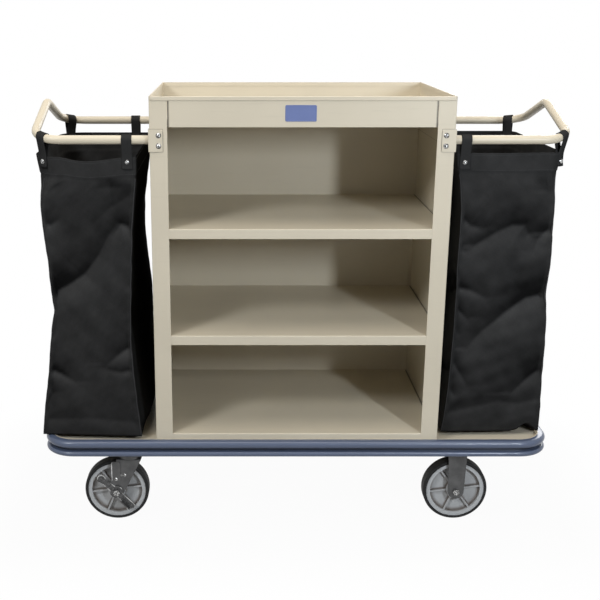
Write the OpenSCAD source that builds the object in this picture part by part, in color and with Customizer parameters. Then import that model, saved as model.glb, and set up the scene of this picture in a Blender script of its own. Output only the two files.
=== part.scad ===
// Housekeeping cart: a sheet steel cabinet with a tray top and three shelves, on a deck
// with a bumper, two end handles of bent tube that carry open fabric bags, and four casters.
// Millimetres. X runs along the cart, the open front faces -Y, and the floor is z = 0.

/* [Wheels] */
// Diameter over the tyre
wheel_d = 203; // [180:1:225]
// Width of the tyre
wheel_w = 44; // [38:1:52]
// Thickness of the tyre
tyre_t = 10; // [8:1:14]
// Radius of the tyre's shoulders
tyre_shoulder_r = 7; // [4:0.5:7.5]
// Radial thickness of the rim of the wheel core
rim_t = 12; // [8:1:14]
// How far the rim lies inside the tyre on each side
rim_inset = 3; // [1:0.5:6]
// Thickness of the web between hub and rim
web_t = 9; // [6:1:14]
// Number of ribs on each side of the web
rib_count = 6; // [4:1:9]
// Thickness of a rib
rib_t = 5.5; // [4:0.5:8]
// Turn of the ribs at rest, in degrees
rib_turn = 7; // [0:1:30]
// How far the ribs lie inside the rim's face
rib_inset = 5; // [2:0.5:8]
// Diameter of the hub
hub_d = 54; // [46:1:62]
// How far the hub stands out of the tyre on each side
hub_stand = 6; // [3:0.5:8]
// Gap between the hub and each fork leg
hub_gap = 1; // [0.6:0.1:2]
// Outside diameter of the spacer tube that the hub turns on
spacer_d = 22; // [19:0.5:26]
// Diameter of the axle bolt
axle_d = 12; // [10:0.5:14]
// Width across flats of the axle bolt's head and nut
axle_flats = 19; // [17:0.5:22]
// Height of the axle bolt's head and nut
axle_head_h = 8; // [6:0.5:10]

/* [Casters] */
// Gap between the wheel and the crown of a swivel fork
crown_gap = 7; // [5:0.5:12]
// Sheet thickness of the forks
fork_t = 4; // [3:0.5:5]
// Outer bend radius of the forks
fork_bend_r = 9; // [7:0.5:12]
// Height of the lower ball race on a swivel fork
cup_h = 10; // [8:0.5:14]
// Height of the upper ball race under a caster plate
boss_h = 8; // [6:0.5:12]
// Diameter of the ball races
race_d = 76; // [70:1:80]
// Diameter of the circle of balls
ball_circle_d = 58; // [54:1:60]
// Diameter of a ball
ball_d = 8; // [7:0.5:9]
// Number of balls
ball_count = 14; // [8:1:16]
// Depth of the ball groove in each race
groove_depth = 2; // [1:0.5:3]
// Thickness of the caster plates
plate_t = 5; // [4:0.5:8]
// Length of the caster plates along the cart
plate_l = 114; // [108:1:124]
// Width of the caster plates across the cart
plate_w = 102; // [98:1:110]
// Corner radius of the caster plates
plate_corner_r = 8; // [4:1:12]
// Spacing of the plate bolts along the cart
plate_hole_l = 92; // [88:1:94]
// Spacing of the plate bolts across the cart
plate_hole_w = 74; // [70:1:80]
// Diameter of the plate bolts
plate_bolt_d = 9; // [8:0.5:10]
// Width across flats of the plate bolts and nuts
plate_bolt_flats = 14; // [13:0.5:15]
// Height of the plate bolts' heads and nuts
plate_bolt_h = 7; // [5:0.5:8]
// Diameter of the kingpins
kingpin_d = 14; // [12:0.5:18]
// Diameter of a kingpin's heads
kingpin_head_d = 26; // [22:1:32]
// Thickness of a kingpin's upper head, let into the plate
kingpin_top_h = 3; // [2:0.5:3.5]
// Thickness of a kingpin's lower head
kingpin_low_h = 8; // [5:0.5:10]
// Distance from kingpin to axle on the swivel casters
trail = 42; // [30:1:50]
// Length of a swivel fork's crown along the cart
crown_l = 78; // [70:1:84]
// End radius of a swivel fork's legs
swivel_leg_r = 23; // [18:0.5:26]
// Width of a rigid fork's legs at the top
rigid_leg_w = 58; // [50:1:64]
// End radius of a rigid fork's legs
rigid_leg_r = 25; // [20:0.5:27]
// Distance of the swivel kingpins from the middle of the cart
swivel_x = 525; // [480:1:560]
// Distance of the rigid wheels from the middle of the cart
rigid_x = 510; // [490:1:560]
// Distance of the wheels' middle planes from the deck's edge
caster_inset = 59; // [55:1:80]

/* [Brakes] */
// Thickness of a brake lever
lever_t = 4; // [3:0.5:5]
// Radius of the lever's eye round the axle
lever_eye_r = 21; // [18:0.5:24]
// Width of the lever's arms
lever_w = 21; // [16:0.5:24]
// Length of the upper arm from the axle
lever_up = 78; // [66:1:84]
// Length of the lower arm from the axle
lever_down = 76; // [66:1:84]
// Slope of the upper arm from the level, in degrees
lever_up_angle = 136; // [134:1:150]
// Slope of the lower arm from the level, in degrees
lever_down_angle = -46; // [-55:1:-40]
// Radius of the upper arm's end
lever_end_r = 13; // [10.5:0.5:14]
// How far the toe tab stands out of the lever
toe_out = 16; // [10:1:20]
// Length of the toe tab along the arm
toe_l = 34; // [24:1:40]
// Thickness of the brake bracket on a fork leg
brake_plate_t = 3; // [2:0.5:4]
// Width of the brake bracket
brake_plate_w = 28; // [22:1:30]
// Height of the brake bracket's foot above the axle
brake_plate_up = 36; // [34:1:50]

/* [Deck] */
// Length of the deck without the bumper
deck_l = 1530; // [1480:1:1600]
// Ledge between the cabinet and the deck's edge, front and rear
deck_ledge = 3.5; // [3:0.5:20]
// Outer corner radius of the deck
deck_corner_r = 74; // [50:1:100]
// Thickness of the deck sheet
deck_t = 2; // [1.5:0.5:3]
// Thickness of the upright wall round the deck
deck_wall_t = 2.5; // [2:0.5:3]
// Height of the deck's lip above its floor
lip_h = 13; // [10:1:20]
// Height of the caster channels under the deck
channel_h = 37; // [30:1:44]
// Thickness of the channels
channel_t = 3; // [2:0.5:4]
// Width of a channel's flat bottom
channel_w = 120; // [118:1:126]
// Width of a channel's upper flanges
channel_flange_w = 14; // [10:1:16]
// How far the bumper stands out of the deck
bumper_out = 22; // [18:1:28]
// Radius of the bumper's upper bead
upper_bead_r = 12.5; // [10:0.5:14]
// Radius of the bumper's lower bead
lower_bead_r = 8.5; // [6:0.5:10]
// Thickness of the bumper's backing strip
bumper_back_t = 5; // [3:0.5:7]

/* [Cabinet] */
// Width of the cabinet
cabinet_w = 870; // [840:1:900]
// Depth of the cabinet
cabinet_d = 576; // [540:1:620]
// Height of the cabinet above the deck
cabinet_h = 1057; // [1040:1:1120]
// Thickness of the cabinet's sheet steel
sheet_t = 1.5; // [1:0.1:2]
// Outer bend radius of the sheet steel
bend_r = 3; // [2.5:0.1:5]
// Width of the folded corner posts
post_w = 51; // [48:1:60]
// Width of the side panels' feet on the deck
foot_w = 30; // [24:1:36]
// Height of the rolled rim round the tray
rim_h = 12; // [8:1:16]
// How far the front rim stands out of the posts
rim_out = 2.5; // [1.5:0.5:4]
// How far the front rim ends short of each side
rim_short = 5; // [4:0.5:10]
// Height of the front apron below the rim
apron_h = 74; // [60:1:80]
// Width of the apron's lower return
apron_return_w = 14; // [8:1:20]
// Height of the tray floor above the deck
tray_floor_up = 992; // [985:1:1000]
// Height of the upper shelf above the deck
upper_shelf_up = 676; // [600:1:740]
// Height of the middle shelf above the deck
middle_shelf_up = 349; // [280:1:420]
// Height of the lower shelf above the deck
lower_shelf_up = 31; // [31:1:60]
// Height of the shelves' front lips
shelf_lip_h = 29; // [24:1:29]
// Width of the lips' lower return
shelf_return_w = 14; // [8:1:20]
// Height of the shelves' end and rear flanges
shelf_flange_h = 20; // [14:1:24]
// Gap of the seams between the front apron and the posts
seam_gap = 1; // [0.3:0.1:1.5]
// Width of the doubled strips at the back panel's upright edges
back_hem_w = 12; // [8:1:16]
// Diameter of the bolts that hold the cabinet to the deck
foot_bolt_d = 6; // [5:0.5:8]
// Width across flats of those bolts and their nuts
foot_bolt_flats = 10; // [9:0.5:13]
// Height of those bolts' heads and nuts
foot_bolt_h = 4.5; // [3:0.5:6]
// Spacing of those bolts
foot_bolt_pitch = 200; // [120:1:220]

/* [Handles] */
// Outside diameter of the handle tube
tube_d = 25.4; // [22:0.2:28]
// Wall of the handle tube
tube_wall = 1.6; // [1.2:0.1:2.5]
// How much the bends draw the tube's wall in, outside and inside
bend_thinning = 0.3; // [0.2:0.05:0.4]
// Height of the straight bars above the deck
bar_up = 933; // [915:1:945]
// Distance of the bars behind the cabinet's front and rear faces
bar_inset = 22; // [20:1:30]
// Reach of the handles from the side panels
handle_reach = 338; // [325:1:360]
// Rise of the end bar to its peak
handle_rise = 85; // [60:1:110]
// Bend radius of the handle's corners, on the tube's axis
corner_bend_r = 74; // [60:1:80]
// Bend radius of the handle's peak, on the tube's axis
peak_bend_r = 80; // [50:1:120]
// Height of the handle brackets
bracket_h = 64; // [56:1:72]
// Width of a bracket's bolted leg
bracket_w = 41; // [38:1:45]
// Length of a bracket's side leg
bracket_side_l = 50; // [46:1:60]
// Thickness of the brackets
bracket_t = 3; // [2:0.5:4]
// Corner radius of the brackets' legs
bracket_corner_r = 8; // [4:1:12]
// Distance of the bracket bolts from the leg's free edge
bracket_bolt_edge = 12; // [11:0.5:16]
// Spacing of the bracket bolts
bracket_bolt_pitch = 30; // [26:1:34]
// Diameter of the bracket bolts
bracket_bolt_d = 8; // [6:0.5:9]
// Diameter of the domed heads of the bracket bolts
bracket_head_d = 16; // [14:0.5:18]
// Height of the domed heads
bracket_head_h = 4.5; // [3:0.5:6]
// Width across flats of the bracket bolts' nuts
bracket_nut_flats = 13; // [12:0.5:14]
// Height of the bracket bolts' nuts
bracket_nut_h = 6.5; // [4:0.5:8]

/* [Bags] */
// Height of the bags' upper edge above the deck
bag_up = 886; // [860:1:890]
// Thickness of the bags' doubled fabric
bag_t = 3; // [2:0.5:4]
// Height of the straight hem band round the mouth
bag_hem_h = 60; // [50:1:90]
// Radius of the bags' sewn corners
bag_corner_r = 9; // [6:1:14]
// Radius of the mouths' outer corners, under the handles' bends
bag_bend_r = 46; // [40:1:60]
// Gap from the left side panel to the left bag's mouth
left_mouth_gap = 43; // [36:1:60]
// Width of the left bag's mouth
left_mouth_w = 281; // [275:1:285]
// Gap from the left side panel to the left bag's base
left_base_gap = 46; // [36:1:60]
// Width of the left bag's base
left_base_w = 300; // [270:1:304]
// Gap from the right side panel to the right bag's mouth
right_mouth_gap = 12; // [8:1:18]
// Width of the right bag's mouth
right_mouth_w = 312; // [306:1:318]
// Gap from the right side panel to the right bag's base
right_base_gap = 12; // [8:1:24]
// Width of the right bag's base
right_base_w = 316; // [290:1:330]
// How far the bases draw in behind the bars, front and rear
base_inset = 14; // [6:1:40]
// Width of the hanging straps
strap_w = 30; // [24:1:32]
// Thickness of the straps
strap_t = 2.5; // [2:0.5:3]
// How far the straps reach below the bags' upper edge
strap_drop = 38; // [32:1:46]
// Distance of the left bag's front inner strap from the side panel
left_front_strap_in = 67; // [67:1:120]
// Distance of the left bag's rear inner strap from the side panel
left_rear_strap_in = 91; // [67:1:120]
// Distance of the right bag's inner straps from the side panel
right_strap_in = 36; // [36:1:120]
// How far round the handle's bends the left bag's outer straps hang, in degrees
left_strap_turn = 38; // [30:1:50]
// How far round the bend the right bag's front outer strap hangs, in degrees
right_front_strap_turn = 45; // [30:1:50]
// How far round the bend the right bag's rear outer strap hangs, in degrees
right_rear_strap_turn = 24; // [20:1:50]
// Diameter of the strap snaps
snap_d = 15; // [12:0.5:18]
// Height of the domed snaps
snap_h = 4; // [3:0.5:5]
// Distance of the snaps below the bags' upper edge
snap_drop = 17; // [12:1:22]

/* [Clearances] */
// Radial clearance of turning pins and bores
pin_play = 0.05; // [0.02:0.01:0.08]
// Radial clearance of bolt holes
hole_play = 0.3; // [0.2:0.05:0.6]
// Gap between neighbours that move or that are soft
run_gap = 0.3; // [0.2:0.05:0.6]

/* [Hidden] */
$fn = 64;
SOFT_FN = 24;
CUT = 1;

// Heights, from the floor up
axle_z = wheel_d / 2;
crown_low = wheel_d + crown_gap;
crown_top = crown_low + fork_t;
cup_top = crown_top + cup_h;
boss_low = cup_top - 2 * groove_depth + ball_d;
plate_low = boss_low + boss_h;
caster_h = plate_low + plate_t;
channel_top = caster_h + channel_h;
deck_top = channel_top + deck_t;
lip_top = deck_top + lip_h;
cabinet_top = deck_top + cabinet_h;
bar_z = deck_top + bar_up;
bag_top = deck_top + bag_up;
bag_low = lip_top + CUT;

// Half sizes and faces
half_w = cabinet_w / 2;
half_d = cabinet_d / 2;
deck_w = cabinet_d + 2 * deck_ledge;
bar_y = half_d - bar_inset;
mouth_y = bar_y + bag_t / 2;
handle_x = half_w + handle_reach;
climb = atan2(handle_rise, bar_y);
post_gap = cabinet_w - 2 * post_w;
inner_w = cabinet_w - 2 * sheet_t;
back_y = half_d - 2 * sheet_t;
bracket_bolt_x = half_w + bracket_t - bracket_w + bracket_bolt_edge;
foot_bolt_x = half_w - sheet_t - foot_w / 2;

// Wheel and fork
core_r = wheel_d / 2 - tyre_t;
hub_l = wheel_w + 2 * hub_stand;
fork_gap = hub_l + 2 * hub_gap;
leg_y = fork_gap / 2 + fork_t;
caster_y = deck_w / 2 - caster_inset;
lever_y = leg_y + run_gap;

BEIGE = "#cbc4b4";
SHELF_BEIGE = "#b9ae98";
SLATE = "#6c768a";
BLACK_CLOTH = "#2d2d2e";
FORK_GREY = "#5a5a5a";
CORE_GREY = "#b4b4b2";
TYRE_BLACK = "#1c1c1c";
ZINC = "#b8b8b4";

// Shared shapes

// Rectangle with four round corners, centred
module round_rect(w, d, r) {
    square([w - 2 * r, d], center = true);
    square([w, d - 2 * r], center = true);
    for (sx = [-1, 1], sy = [-1, 1])
        translate([sx * (w / 2 - r), sy * (d / 2 - r)])
            circle(r);
}

// Outline of a sheet edge folded down: the fold's outside is at the origin's corner,
// the sheet runs off along +x for run and the flange hangs down for drop
module folded_edge(run, drop, t, r) {
    translate([0, -drop])
        square([t, drop - r]);
    translate([r, -t])
        square([run - r, t]);
    intersection() {
        translate([r, -r])
            difference() {
                circle(r);
                circle(r - t);
            }
        translate([0, -r])
            square(r);
    }
}

// Extrude an outline that is drawn in X and Z, for len towards -Y
module along_y(len) {
    rotate([90, 0, 0])
        linear_extrude(len)
            children();
}

// Extrude an outline that is drawn in Y and Z, for len towards +X
module along_x(len) {
    rotate([90, 0, 90])
        linear_extrude(len)
            children();
}

// Flat-based dome of a given diameter and height, standing on z = 0
module dome(d, h) {
    ball_r = (d * d / 4 + h * h) / (2 * h);
    intersection() {
        translate([0, 0, h - ball_r])
            sphere(ball_r);
        cylinder(d = d, h = h);
    }
}

// Hexagon prism of a given width across flats
module hex_prism(flats, h) {
    cylinder(d = flats / cos(30), h = h, $fn = 6);
}

// Hexagon nut with its hole
module hex_nut(flats, h, bore) {
    difference() {
        hex_prism(flats, h);
        translate([0, 0, -CUT])
            cylinder(d = bore, h = h + 2 * CUT);
    }
}

// Place a copy at each corner of a rectangle
module at_corners(l, w) {
    for (sx = [-1, 1], sy = [-1, 1])
        translate([sx * l / 2, sy * w / 2, 0])
            children();
}

function unit(v) = v / norm(v);

// Straight length of tube along +X, starting at the origin
module straight_tube(len) {
    rotate([0, 90, 0])
        difference() {
            cylinder(d = tube_d, h = len);
            translate([0, 0, -CUT])
                cylinder(d = tube_d - 2 * tube_wall, h = len + 2 * CUT);
        }
}

// Bend of tube about the origin, on radius r, from +X round by an angle. The bend draws its
// wall a little thinner than the straight lengths', and its ends lap into them
module bent_tube(r, angle) {
    lap = atan2(tube_wall, r);
    rotate([0, 0, -lap])
        rotate_extrude(angle = angle + 2 * lap)
            translate([r, 0])
                difference() {
                    circle(d = tube_d - 2 * bend_thinning);
                    circle(d = tube_d - 2 * tube_wall + 2 * bend_thinning);
                }
}

// Deck

// Sheet floor inside an upright wall that forms a lip above and a skirt below
module deck_pan() {
    color(BEIGE)
        difference() {
            union() {
                translate([0, 0, channel_top])
                    linear_extrude(deck_t)
                        round_rect(deck_l, deck_w, deck_corner_r);
                translate([0, 0, caster_h + CUT])
                    linear_extrude(lip_top - caster_h - CUT)
                        difference() {
                            round_rect(deck_l, deck_w, deck_corner_r);
                            round_rect(deck_l - 2 * deck_wall_t, deck_w - 2 * deck_wall_t,
                                       deck_corner_r - deck_wall_t);
                        }
            }
            at_foot_bolts()
                translate([0, 0, channel_top - CUT])
                    cylinder(d = foot_bolt_d + 2 * hole_play, h = deck_t + 2 * CUT);
        }
}

// Hat channel across the deck's underside, which carries one pair of casters
module caster_channel(x) {
    len = deck_w - 2 * deck_wall_t - 2 * CUT;
    color(BEIGE)
        translate([x, 0, 0])
            difference() {
                translate([0, len / 2, caster_h])
                    along_y(len) {
                        translate([-channel_w / 2, 0])
                            square([channel_w, channel_t]);
                        for (s = [-1, 1]) {
                            translate([s * (channel_w - channel_t) / 2 - channel_t / 2, 0])
                                square([channel_t, channel_h]);
                            translate([s * (channel_w + channel_flange_w) / 2
                                       - channel_flange_w / 2, channel_h - channel_t])
                                square([channel_flange_w, channel_t]);
                        }
                    }
                for (sy = [-1, 1])
                    translate([0, sy * caster_y, caster_h - CUT])
                        at_corners(plate_hole_l, plate_hole_w)
                            cylinder(d = plate_bolt_d + 2 * hole_play, h = channel_t + 2 * CUT);
            }
}

// Bumper section: a backing strip with a fuller upper bead and a slimmer lower one, which
// stand out equally.
// x is the distance out of the deck's wall, y the height above the skirt's lower edge
module bumper_section() {
    h = lip_top - caster_h - CUT;
    translate([run_gap, 0])
        square([bumper_back_t, h]);
    for (bead = [[upper_bead_r, h - upper_bead_r], [lower_bead_r, lower_bead_r]]) {
        bead_x = bumper_out - bead[0];
        intersection() {
            translate([bead_x, bead[1]])
                circle(bead[0]);
            translate([run_gap, 0])
                square([bumper_out, h]);
        }
        translate([run_gap, bead[1] - bead[0]])
            square([bead_x - run_gap, 2 * bead[0]]);
    }
}

// Vinyl strip that runs right round the deck
module bumper() {
    straight_l = deck_l - 2 * deck_corner_r;
    straight_w = deck_w - 2 * deck_corner_r;
    color(SLATE)
        translate([0, 0, caster_h + CUT])
            for (s = [0, 180])
                rotate([0, 0, s]) {
                    translate([straight_l / 2, 0, 0])
                        rotate([0, 0, -90])
                            translate([0, deck_corner_r, 0])
                                translate([-straight_w / 2, 0, 0])
                                    along_x(straight_w)
                                        bumper_section();
                    translate([-straight_l / 2, straight_w / 2 + deck_corner_r, 0])
                        along_x(straight_l)
                            bumper_section();
                    for (sy = [0, 1])
                        translate([straight_l / 2, (sy - 0.5) * straight_w, 0])
                            rotate([0, 0, sy * 90 - 90])
                                rotate_extrude(angle = 90)
                                    translate([deck_corner_r, 0])
                                        bumper_section();
                }
}

// Cabinet

// Place a copy at each bolt that holds a side panel's foot
module at_foot_bolts() {
    for (sx = [-1, 1], row = [-1, 0, 1])
        translate([sx * foot_bolt_x, row * foot_bolt_pitch, 0])
            children();
}

// Place a copy at each bracket bolt, with its axis along +z pointing out of the cabinet
module at_bracket_bolts() {
    for (sx = [-1, 1], sy = [-1, 1], row = [-0.5, 0.5])
        translate([sx * bracket_bolt_x, sy * half_d, bar_z + row * bracket_bolt_pitch])
            rotate([-sy * 90, 0, 0])
                children();
}

// Side panel with the right-hand panel's shape: web, front and rear posts, foot and rim
module side_panel() {
    difference() {
        union() {
            translate([half_w, 0, deck_top])
                linear_extrude(cabinet_h)
                    for (sy = [0, 1])
                        mirror([0, sy])
                            translate([0, -half_d])
                                mirror([1, 0])
                                    rotate(90)
                                        folded_edge(half_d, post_w, sheet_t, bend_r);
            translate([half_w - foot_w, -half_d + post_w, deck_top])
                cube([foot_w - sheet_t, cabinet_d - 2 * post_w, sheet_t]);
            translate([half_w - 2 * sheet_t, -half_d + bend_r + rim_h, cabinet_top - rim_h])
                cube([sheet_t, half_d - bend_r - rim_h + back_y - sheet_t - run_gap, rim_h]);
        }
        translate([-CUT, -half_d - CUT, cabinet_top - rim_h])
            cube([half_w - rim_short + CUT, sheet_t + 2 * CUT, rim_h + CUT]);
        at_bracket_bolts()
            translate([0, 0, -3 * sheet_t])
                cylinder(d = bracket_bolt_d + 2 * hole_play, h = 4 * sheet_t);
        at_foot_bolts()
            translate([0, 0, deck_top - CUT])
                cylinder(d = foot_bolt_d + 2 * hole_play, h = sheet_t + 2 * CUT);
    }
}

module side_panel_right() {
    color(BEIGE)
        side_panel();
}

module side_panel_left() {
    color(BEIGE)
        mirror([1, 0, 0])
            side_panel();
}

// Back sheet inside the rear posts, with doubled upright edges and a rolled rim
module back_panel() {
    color(BEIGE)
        difference() {
            union() {
                translate([-half_w + bend_r, back_y, deck_top + sheet_t])
                    cube([cabinet_w - 2 * bend_r, sheet_t, cabinet_h - sheet_t]);
                for (s = [0, 1])
                    mirror([s, 0, 0])
                        translate([inner_w / 2 - back_hem_w, back_y - sheet_t,
                                   deck_top + sheet_t])
                            cube([back_hem_w, sheet_t, cabinet_h - sheet_t]);
                translate([-inner_w / 2, back_y - sheet_t, cabinet_top - rim_h])
                    cube([inner_w, sheet_t, rim_h]);
            }
            at_bracket_bolts()
                translate([0, 0, -4 * sheet_t])
                    cylinder(d = bracket_bolt_d + 2 * hole_play, h = 4 * sheet_t);
        }
}

// Front apron between the posts, with a lower return and a rim that laps over the posts
module header_apron() {
    apron_w = post_gap - 2 * seam_gap;
    rim_l = cabinet_w - 2 * rim_short - 2 * run_gap;
    color(BEIGE) {
        translate([-apron_w / 2, -half_d, cabinet_top - rim_h - apron_h]) {
            cube([apron_w, sheet_t, apron_h + rim_h]);
            cube([apron_w, apron_return_w, sheet_t]);
        }
        translate([-rim_l / 2, -half_d, cabinet_top - rim_h])
            along_x(rim_l)
                translate([0, rim_h / 2])
                    round_rect(2 * rim_out, rim_h, rim_out - CUT / 2);
    }
}

// Shelf sheet at a height above the deck, with its ends and rear edge folded down
module shelf_sheet(up) {
    depth = half_d - bend_r + back_y;
    translate([0, 0, deck_top + up])
        difference() {
            union() {
                for (s = [0, 1])
                    mirror([s, 0, 0])
                        translate([0, back_y, 0])
                            along_y(depth)
                                translate([-inner_w / 2, 0])
                                    folded_edge(inner_w / 2, shelf_flange_h, sheet_t, bend_r);
                translate([-inner_w / 2, back_y - sheet_t, -shelf_flange_h])
                    cube([inner_w, sheet_t, shelf_flange_h]);
            }
            for (s = [0, 1])
                mirror([s, 0, 0])
                    translate([inner_w / 2 - back_hem_w - run_gap, back_y - sheet_t - run_gap,
                               -shelf_flange_h - CUT])
                        cube([back_hem_w + run_gap + CUT, sheet_t + run_gap + CUT,
                              shelf_flange_h + 2 * CUT]);
        }
}

// Shelf with a front lip that closes the opening between the posts
module shelf(up) {
    color(SHELF_BEIGE) {
        shelf_sheet(up);
        translate([-post_gap / 2 + run_gap, -half_d, deck_top + up])
            along_x(post_gap - 2 * run_gap) {
                folded_edge(2 * post_w, shelf_lip_h, sheet_t, bend_r);
                translate([0, -shelf_lip_h])
                    square([shelf_return_w, sheet_t]);
            }
    }
}

module upper_shelf() {
    shelf(upper_shelf_up);
}

module middle_shelf() {
    shelf(middle_shelf_up);
}

module lower_shelf() {
    shelf(lower_shelf_up);
}

// Tray floor, whose front edge is folded down behind the apron to just above its return
module tray_floor() {
    drop = tray_floor_up - cabinet_h + rim_h + apron_h - sheet_t - run_gap;
    color(SHELF_BEIGE) {
        shelf_sheet(tray_floor_up);
        translate([-post_gap / 2 + run_gap, -half_d + sheet_t, deck_top + tray_floor_up])
            along_x(post_gap - 2 * run_gap)
                folded_edge(post_w, drop, sheet_t, bend_r);
    }
}

// Bolts with their nuts that hold the side panels' feet to the deck
module foot_bolts() {
    color(ZINC)
        at_foot_bolts() {
            translate([0, 0, deck_top + sheet_t])
                hex_prism(foot_bolt_flats, foot_bolt_h);
            translate([0, 0, channel_top - foot_bolt_h - CUT])
                cylinder(d = foot_bolt_d, h = foot_bolt_h + deck_t + 2 * sheet_t + CUT);
            translate([0, 0, channel_top - foot_bolt_h])
                hex_prism(foot_bolt_flats, foot_bolt_h);
        }
}

// Handles

// Right-hand handle: a straight bar at front and rear, and an end bar that rises to a peak.
// Each corner bends in the plane of the bar and the climbing end
module handle() {
    bar_l = handle_reach - bracket_t - corner_bend_r;
    climb_l = norm([handle_rise, bar_y]) - corner_bend_r - peak_bend_r * tan(climb);
    for (s = [0, 1])
        mirror([0, s, 0])
            translate([handle_x, -bar_y, bar_z])
                rotate([climb, 0, 0]) {
                    translate([-corner_bend_r - bar_l, 0, 0])
                        straight_tube(bar_l);
                    translate([-corner_bend_r, corner_bend_r, 0])
                        rotate([0, 0, -90])
                            bent_tube(corner_bend_r, 90);
                    translate([0, corner_bend_r, 0])
                        rotate([0, 0, 90])
                            straight_tube(climb_l);
                }
    translate([handle_x, 0, bar_z + handle_rise - peak_bend_r / cos(climb)])
        rotate([90, 0, 90])
            rotate([0, 0, 90 - climb])
                bent_tube(peak_bend_r, 2 * climb);
}

module right_handle() {
    color(BEIGE)
        handle();
}

module left_handle() {
    color(BEIGE)
        mirror([1, 0, 0])
            handle();
}

// Angle bracket on a post, at the front right: one leg is bolted, the other carries the bar
module bracket() {
    color(BEIGE)
        difference() {
            translate([half_w, -half_d, bar_z]) {
                translate([bracket_t - bracket_w, 0, 0])
                    along_y(bracket_t) {
                        translate([bracket_w / 2, 0])
                            round_rect(bracket_w, bracket_h, bracket_corner_r);
                        translate([bracket_w / 2, -bracket_h / 2])
                            square([bracket_w / 2, bracket_h]);
                    }
                translate([0, -bracket_t, 0])
                    along_x(bracket_t) {
                        translate([bracket_side_l / 2, 0])
                            round_rect(bracket_side_l, bracket_h, bracket_corner_r);
                        translate([0, -bracket_h / 2])
                            square([bracket_side_l / 2, bracket_h]);
                    }
            }
            at_bracket_bolts()
                translate([0, 0, -CUT])
                    cylinder(d = bracket_bolt_d + 2 * hole_play, h = bracket_t + 2 * CUT);
        }
}

module front_right_bracket() {
    bracket();
}

module rear_right_bracket() {
    mirror([0, 1, 0])
        bracket();
}

module front_left_bracket() {
    mirror([1, 0, 0])
        bracket();
}

module rear_left_bracket() {
    mirror([1, 0, 0])
        mirror([0, 1, 0])
            bracket();
}

// Domed bolts that hold the brackets to the posts
module bracket_bolts() {
    grip = 2 * sheet_t + bracket_nut_h + CUT;
    color(ZINC)
        at_bracket_bolts() {
            translate([0, 0, bracket_t])
                dome(bracket_head_d, bracket_head_h);
            translate([0, 0, -grip])
                cylinder(d = bracket_bolt_d, h = grip + bracket_t);
        }
}

// Nuts inside the cabinet: behind the front posts, and on the back panel at the rear
module bracket_nuts() {
    color(ZINC)
        for (sx = [-1, 1], row = [-0.5, 0.5]) {
            translate([sx * bracket_bolt_x, -half_d + sheet_t,
                       bar_z + row * bracket_bolt_pitch])
                rotate([-90, 0, 0])
                    hex_nut(bracket_nut_flats, bracket_nut_h, bracket_bolt_d);
            translate([sx * bracket_bolt_x, back_y, bar_z + row * bracket_bolt_pitch])
                rotate([90, 0, 0])
                    hex_nut(bracket_nut_flats, bracket_nut_h, bracket_bolt_d);
        }
}

// Bags

// Corner posts of a bag's outline at a height, for a hull. x_in is the side nearest the cabinet,
// and outer_r is the radius of the two corners on the other side
module bag_corners(x_in, w, y_half, outer_r, z, h, inset) {
    for (corner = [[x_in + bag_corner_r, bag_corner_r], [x_in + w - outer_r, outer_r]], sy = [-1, 1])
        translate([corner[0], sy * (y_half - corner[1]), z])
            cylinder(r = corner[1] - inset, h = h, $fn = SOFT_FN);
}

// Open bag: straight round the hem, tapering to its base, hollow from the mouth down
module bag(mouth_gap, mouth_w, base_gap, base_w) {
    mouth_in = half_w + mouth_gap;
    base_in = half_w + base_gap;
    base_y = bar_y - base_inset;
    hem_low = bag_top - bag_hem_h;
    difference() {
        hull() {
            bag_corners(mouth_in, mouth_w, mouth_y, bag_bend_r, hem_low, bag_hem_h, 0);
            bag_corners(base_in, base_w, base_y, bag_corner_r, bag_low, bag_t, 0);
        }
        hull() {
            bag_corners(mouth_in, mouth_w, mouth_y, bag_bend_r, hem_low, bag_hem_h + CUT, bag_t);
            bag_corners(base_in, base_w, base_y, bag_corner_r, bag_low + bag_t, bag_t, bag_t);
        }
    }
}

module right_bag() {
    color(BLACK_CLOTH)
        bag(right_mouth_gap, right_mouth_w, right_base_gap, right_base_w);
}

module left_bag() {
    color(BLACK_CLOTH)
        mirror([1, 0, 0])
            bag(left_mouth_gap, left_mouth_w, left_base_gap, left_base_w);
}

// A strap is its point on the bar's axis, the bar's turn there, how far outside the point the
// bag's wall lies, and how far the wall curves in behind the strap. All are on the front right
function inner_strap(in) = [[half_w + in, -bar_y, bar_z], 0, 0, 0];

function outer_strap(turn, mouth_x) =
    let (
        back = corner_bend_r * (1 - cos(turn)),
        point = [handle_x - corner_bend_r * (1 - sin(turn)), back * cos(climb) - bar_y,
                 bar_z + back * sin(climb)],
        way = [mouth_x - bag_bend_r - point.x, bag_bend_r - mouth_y - point.y],
        wall = way.x * sin(turn) - way.y * cos(turn) + bag_bend_r - bag_t / 2,
        edge = strap_w / 2 + abs(way.x * cos(turn) + way.y * sin(turn)),
        inside_r = bag_bend_r - bag_t,
        flat_r = inside_r * cos(180 / SOFT_FN)
    )
    [point, turn, wall, inside_r - sqrt(flat_r * flat_r - edge * edge)];

// The straps of each bag: the front ones, then the rear ones
left_mouth_x = half_w + left_mouth_gap + left_mouth_w;
right_mouth_x = half_w + right_mouth_gap + right_mouth_w;
left_outer_strap = outer_strap(left_strap_turn, left_mouth_x);
left_straps = [
    [inner_strap(left_front_strap_in), left_outer_strap],
    [inner_strap(left_rear_strap_in), left_outer_strap]
];
right_straps = [
    [inner_strap(right_strap_in), outer_strap(right_front_strap_turn, right_mouth_x)],
    [inner_strap(right_strap_in), outer_strap(right_rear_strap_turn, right_mouth_x)]
];

// Place a copy in a strap's own frame: x along the bar, y into the bag, from the bar's axis
module at_strap(strap) {
    translate(strap[0])
        rotate([0, 0, strap[1]])
            children();
}

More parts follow.
